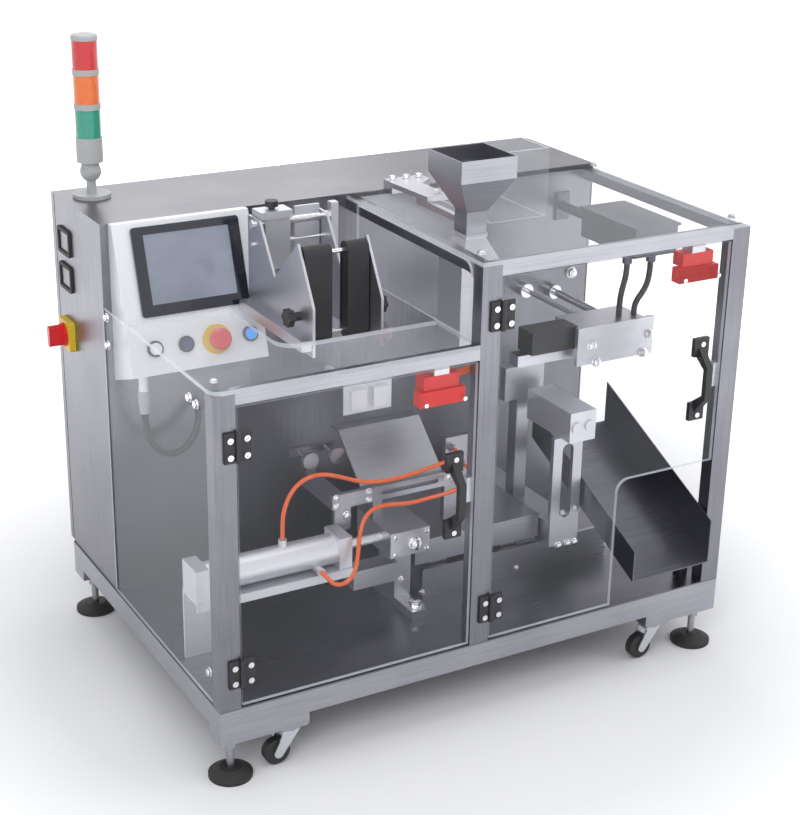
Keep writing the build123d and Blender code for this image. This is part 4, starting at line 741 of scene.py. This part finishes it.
@dataclass
class Studio:
    """The floor, lights, world and camera."""

    eye: Triple = (-1.51665, -2.6914, 1.7378)
    right: Triple = (0.87091, -0.49112, 0.01768)
    rise: Triple = (0.16943, 0.33382, 0.92728)
    back: Triple = (-0.46131, -0.80459, 0.37394)
    lens: float = 76.2435
    sensor: float = 36.0

    def build(self) -> None:
        """Make the floor, the lamps, the world and the camera."""
        scene = bpy.context.scene
        scene.view_settings.view_transform = "Standard"
        self.floor()
        self.world()
        self.lamp("key", (-2.6, -3.2, 3.4), 2.4, 78.0)
        self.lamp("fill", (3.4, -2.2, 2.2), 2.6, 36.0)
        self.lamp("rear", (0.6, 3.4, 3.0), 2.6, 20.0)
        self.lamp("top", (0.1, -0.2, 4.2), 2.4, 38.0)
        camera = bpy.data.cameras.new("camera")
        camera.sensor_fit = "HORIZONTAL"
        camera.sensor_width = self.sensor
        camera.lens = self.lens
        camera.clip_end = 60.0
        eye = bpy.data.objects.new("camera", camera)
        turn = Matrix((self.right, self.rise, self.back)).transposed().to_4x4()
        eye.matrix_world = Matrix.Translation(self.eye) @ turn
        scene.collection.objects.link(eye)
        scene.camera = eye

    def lamp(self, name: str, spot: Triple, size: float, power: float) -> None:
        """Hang one square lamp that faces the machine.

        Args:
            name: The lamp's name.
            spot: Its place, in metres.
            size: Its side, in metres.
            power: Its power, in watts.
        """
        light = bpy.data.lights.new(name, "AREA")
        light.size = size
        light.energy = power
        lamp = bpy.data.objects.new(name, light)
        toward = Vector((0.0, 0.0, 0.5)) - Vector(spot)
        turn = toward.to_track_quat("-Z", "Y").to_matrix().to_4x4()
        lamp.matrix_world = Matrix.Translation(spot) @ turn
        bpy.context.scene.collection.objects.link(lamp)

    @staticmethod
    def seen(tree: bpy.types.NodeTree) -> bpy.types.NodeSocket:
        """Tell the rays that show the background from those that light the machine.

        Args:
            tree: The material's or the world's node tree.

        Returns:
            A socket that is 1 where the camera, metal or glass sees the background.
        """
        nodes, links = tree.nodes, tree.links
        path = nodes.new("ShaderNodeLightPath")
        total = path.outputs["Is Camera Ray"]
        for kind in ("Is Glossy Ray", "Is Transmission Ray"):
            both = nodes.new("ShaderNodeMath")
            both.operation = "ADD"
            both.use_clamp = True
            links.new(total, both.inputs[0])
            links.new(path.outputs[kind], both.inputs[1])
            total = both.outputs["Value"]
        return total

    def floor(self) -> None:
        """Lay the plain pale floor, white where it is far from the machine."""
        shape = bmesh.new()
        bmesh.ops.create_grid(shape, x_segments=1, y_segments=1, size=14.0)
        mesh = bpy.data.meshes.new("floor")
        shape.to_mesh(mesh)
        shape.free()
        floor = bpy.data.objects.new("floor", mesh)
        bpy.context.scene.collection.objects.link(floor)
        material = bpy.data.materials.new("pale_floor")
        material.use_nodes = True
        shader = material.node_tree.nodes["Principled BSDF"]
        shader.inputs["Base Color"].default_value = (0.86, 0.86, 0.87, 1.0)
        shader.inputs["Roughness"].default_value = 0.7
        nodes, links = material.node_tree.nodes, material.node_tree.links
        spot = nodes.new("ShaderNodeTexCoord")
        reach = nodes.new("ShaderNodeVectorMath")
        reach.operation = "LENGTH"
        links.new(spot.outputs["Object"], reach.inputs[0])
        fade = nodes.new("ShaderNodeMapRange")
        fade.inputs["From Min"].default_value = 0.7
        fade.inputs["From Max"].default_value = 2.4
        links.new(reach.outputs["Value"], fade.inputs["Value"])
        white = nodes.new("ShaderNodeMath")
        white.operation = "MULTIPLY"
        links.new(fade.outputs["Result"], white.inputs[0])
        links.new(self.seen(material.node_tree), white.inputs[1])
        links.new(white.outputs["Value"], shader.inputs["Emission Strength"])
        shader.inputs["Emission Color"].default_value = (1.0, 1.0, 1.0, 1.0)
        mesh.materials.append(material)

    def world(self) -> None:
        """Light the world: a soft grey sky that the camera, metal and glass see as white."""
        world = bpy.data.worlds.new("sky")
        bpy.context.scene.world = world
        world.use_nodes = True
        nodes, links = world.node_tree.nodes, world.node_tree.links
        background = nodes["Background"]
        spot = nodes.new("ShaderNodeTexCoord")
        split = nodes.new("ShaderNodeSeparateXYZ")
        links.new(spot.outputs["Generated"], split.inputs["Vector"])
        ramp = nodes.new("ShaderNodeValToRGB")
        ramp.color_ramp.elements[0].position = 0.30
        ramp.color_ramp.elements[0].color = (0.22, 0.23, 0.26, 1.0)
        ramp.color_ramp.elements[1].position = 0.75
        ramp.color_ramp.elements[1].color = (0.60, 0.61, 0.63, 1.0)
        half = nodes.new("ShaderNodeMath")
        half.operation = "MULTIPLY_ADD"
        half.inputs[1].default_value = 0.5
        half.inputs[2].default_value = 0.5
        links.new(split.outputs["Z"], half.inputs[0])
        links.new(half.outputs["Value"], ramp.inputs["Fac"])
        mix = nodes.new("ShaderNodeMix")
        mix.data_type = "RGBA"
        links.new(self.seen(world.node_tree), mix.inputs["Factor"])
        links.new(ramp.outputs["Color"], mix.inputs["A"])
        mix.inputs["B"].default_value = (1.0, 1.0, 1.0, 1.0)
        links.new(mix.outputs["Result"], background.inputs["Color"])
        background.inputs["Strength"].default_value = 1.0


@dataclass
class Controls:
    """The control box with its screen and buttons, the stack light and the main switch."""

    nodes: dict[str, bpy.types.Object]
    lens_levels: tuple[float, float] = (916.0, 980.0)

    def dress(self) -> None:
        """Give the controls their finishes."""
        dress(self.nodes["control_box"], WHITE_PAINT, GREY_PLASTIC,
              choose=lambda c, n: 1 if c.z < place(0, 0, 440).z else 0)
        dress(self.nodes["touchscreen"], BLACK_GLOSS, SCREEN, choose=self.screen_face)
        dress(self.nodes["button_bezels"], BLACK_PLASTIC, YELLOW,
              choose=lambda c, n: 1 if abs(c.x - place(188, 0, 0).x) < 0.03 else 0)
        for name, finish in (("start_button", WHITE_PLASTIC), ("mode_button", NAVY),
                             ("reset_button", LIGHT_BLUE), ("stop_button", RED),
                             ("isolator_plate", YELLOW), ("isolator_handle", RED),
                             ("stack_mount", GREY_PLASTIC)):
            dress(self.nodes[name], finish)
        low, high = (place(0, 0, level).z for level in self.lens_levels)
        dress(self.nodes["stack_lenses"], GREEN_LENS, AMBER_LENS, RED_LENS,
              choose=lambda c, n: 0 if c.z < low else (1 if c.z < high else 2))

    @staticmethod
    def screen_face(centre: Vector, normal: Vector) -> int:
        """Pick the display's recessed face from the bezel.

        Args:
            centre: The face's centre.
            normal: The face's normal.

        Returns:
            1 for the display, 0 for the bezel.
        """
        run, rise = 85.0, 266.0
        length = math.hypot(run, rise)
        outward = Vector((0.0, -rise / length, run / length))
        depth = (centre - place(18, 400, 477)).dot(outward) / MM
        return 1 if normal.dot(outward) > 0.9 and depth < 5.5 else 0


@dataclass
class Fittings:
    """Hinges, handles, catches and safety switches."""

    nodes: dict[str, bpy.types.Object]

    def dress(self) -> None:
        """Paint the switch bodies red and the rest black."""
        inner = place(0, 7.9, 0).y
        for name in ("left_door_fittings", "right_door_fittings"):
            dress(self.nodes[name], BLACK_PLASTIC, SIGNAL_RED,
                  choose=lambda c, n: 1 if c.y > inner else 0)
        dress(self.nodes["frame_fittings"], BLACK_PLASTIC, SIGNAL_RED, CAST_ZINC,
              choose=self.frame_face)

    @staticmethod
    def frame_face(centre: Vector, normal: Vector) -> int:
        """Pick the finish of a face of the fittings on the frame.

        Args:
            centre: The face's centre.
            normal: The face's normal.

        Returns:
            0 for a hinge, 1 for a switch body, 2 for a catch.
        """
        if centre.y < place(0, 0.2, 0).y:
            return 0
        height = centre.z / MM - DECK
        return 1 if 519.0 < height < 545.5 or 667.0 < height < 693.5 else 2


def main() -> None:
    """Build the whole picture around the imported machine."""
    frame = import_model()
    nodes = frame["nodes"]
    Studio().build()
    for cord in CORDS:
        cord.build()
    Steelwork(nodes).dress()
    Sheets(nodes).dress()
    Controls(nodes).dress()
    Fittings(nodes).dress()
    dress(nodes["gauge_panel"], WHITE_PAINT)
    Fasteners().build()


if __name__ == "__main__":
    logging.basicConfig(level=logging.INFO)
    main()
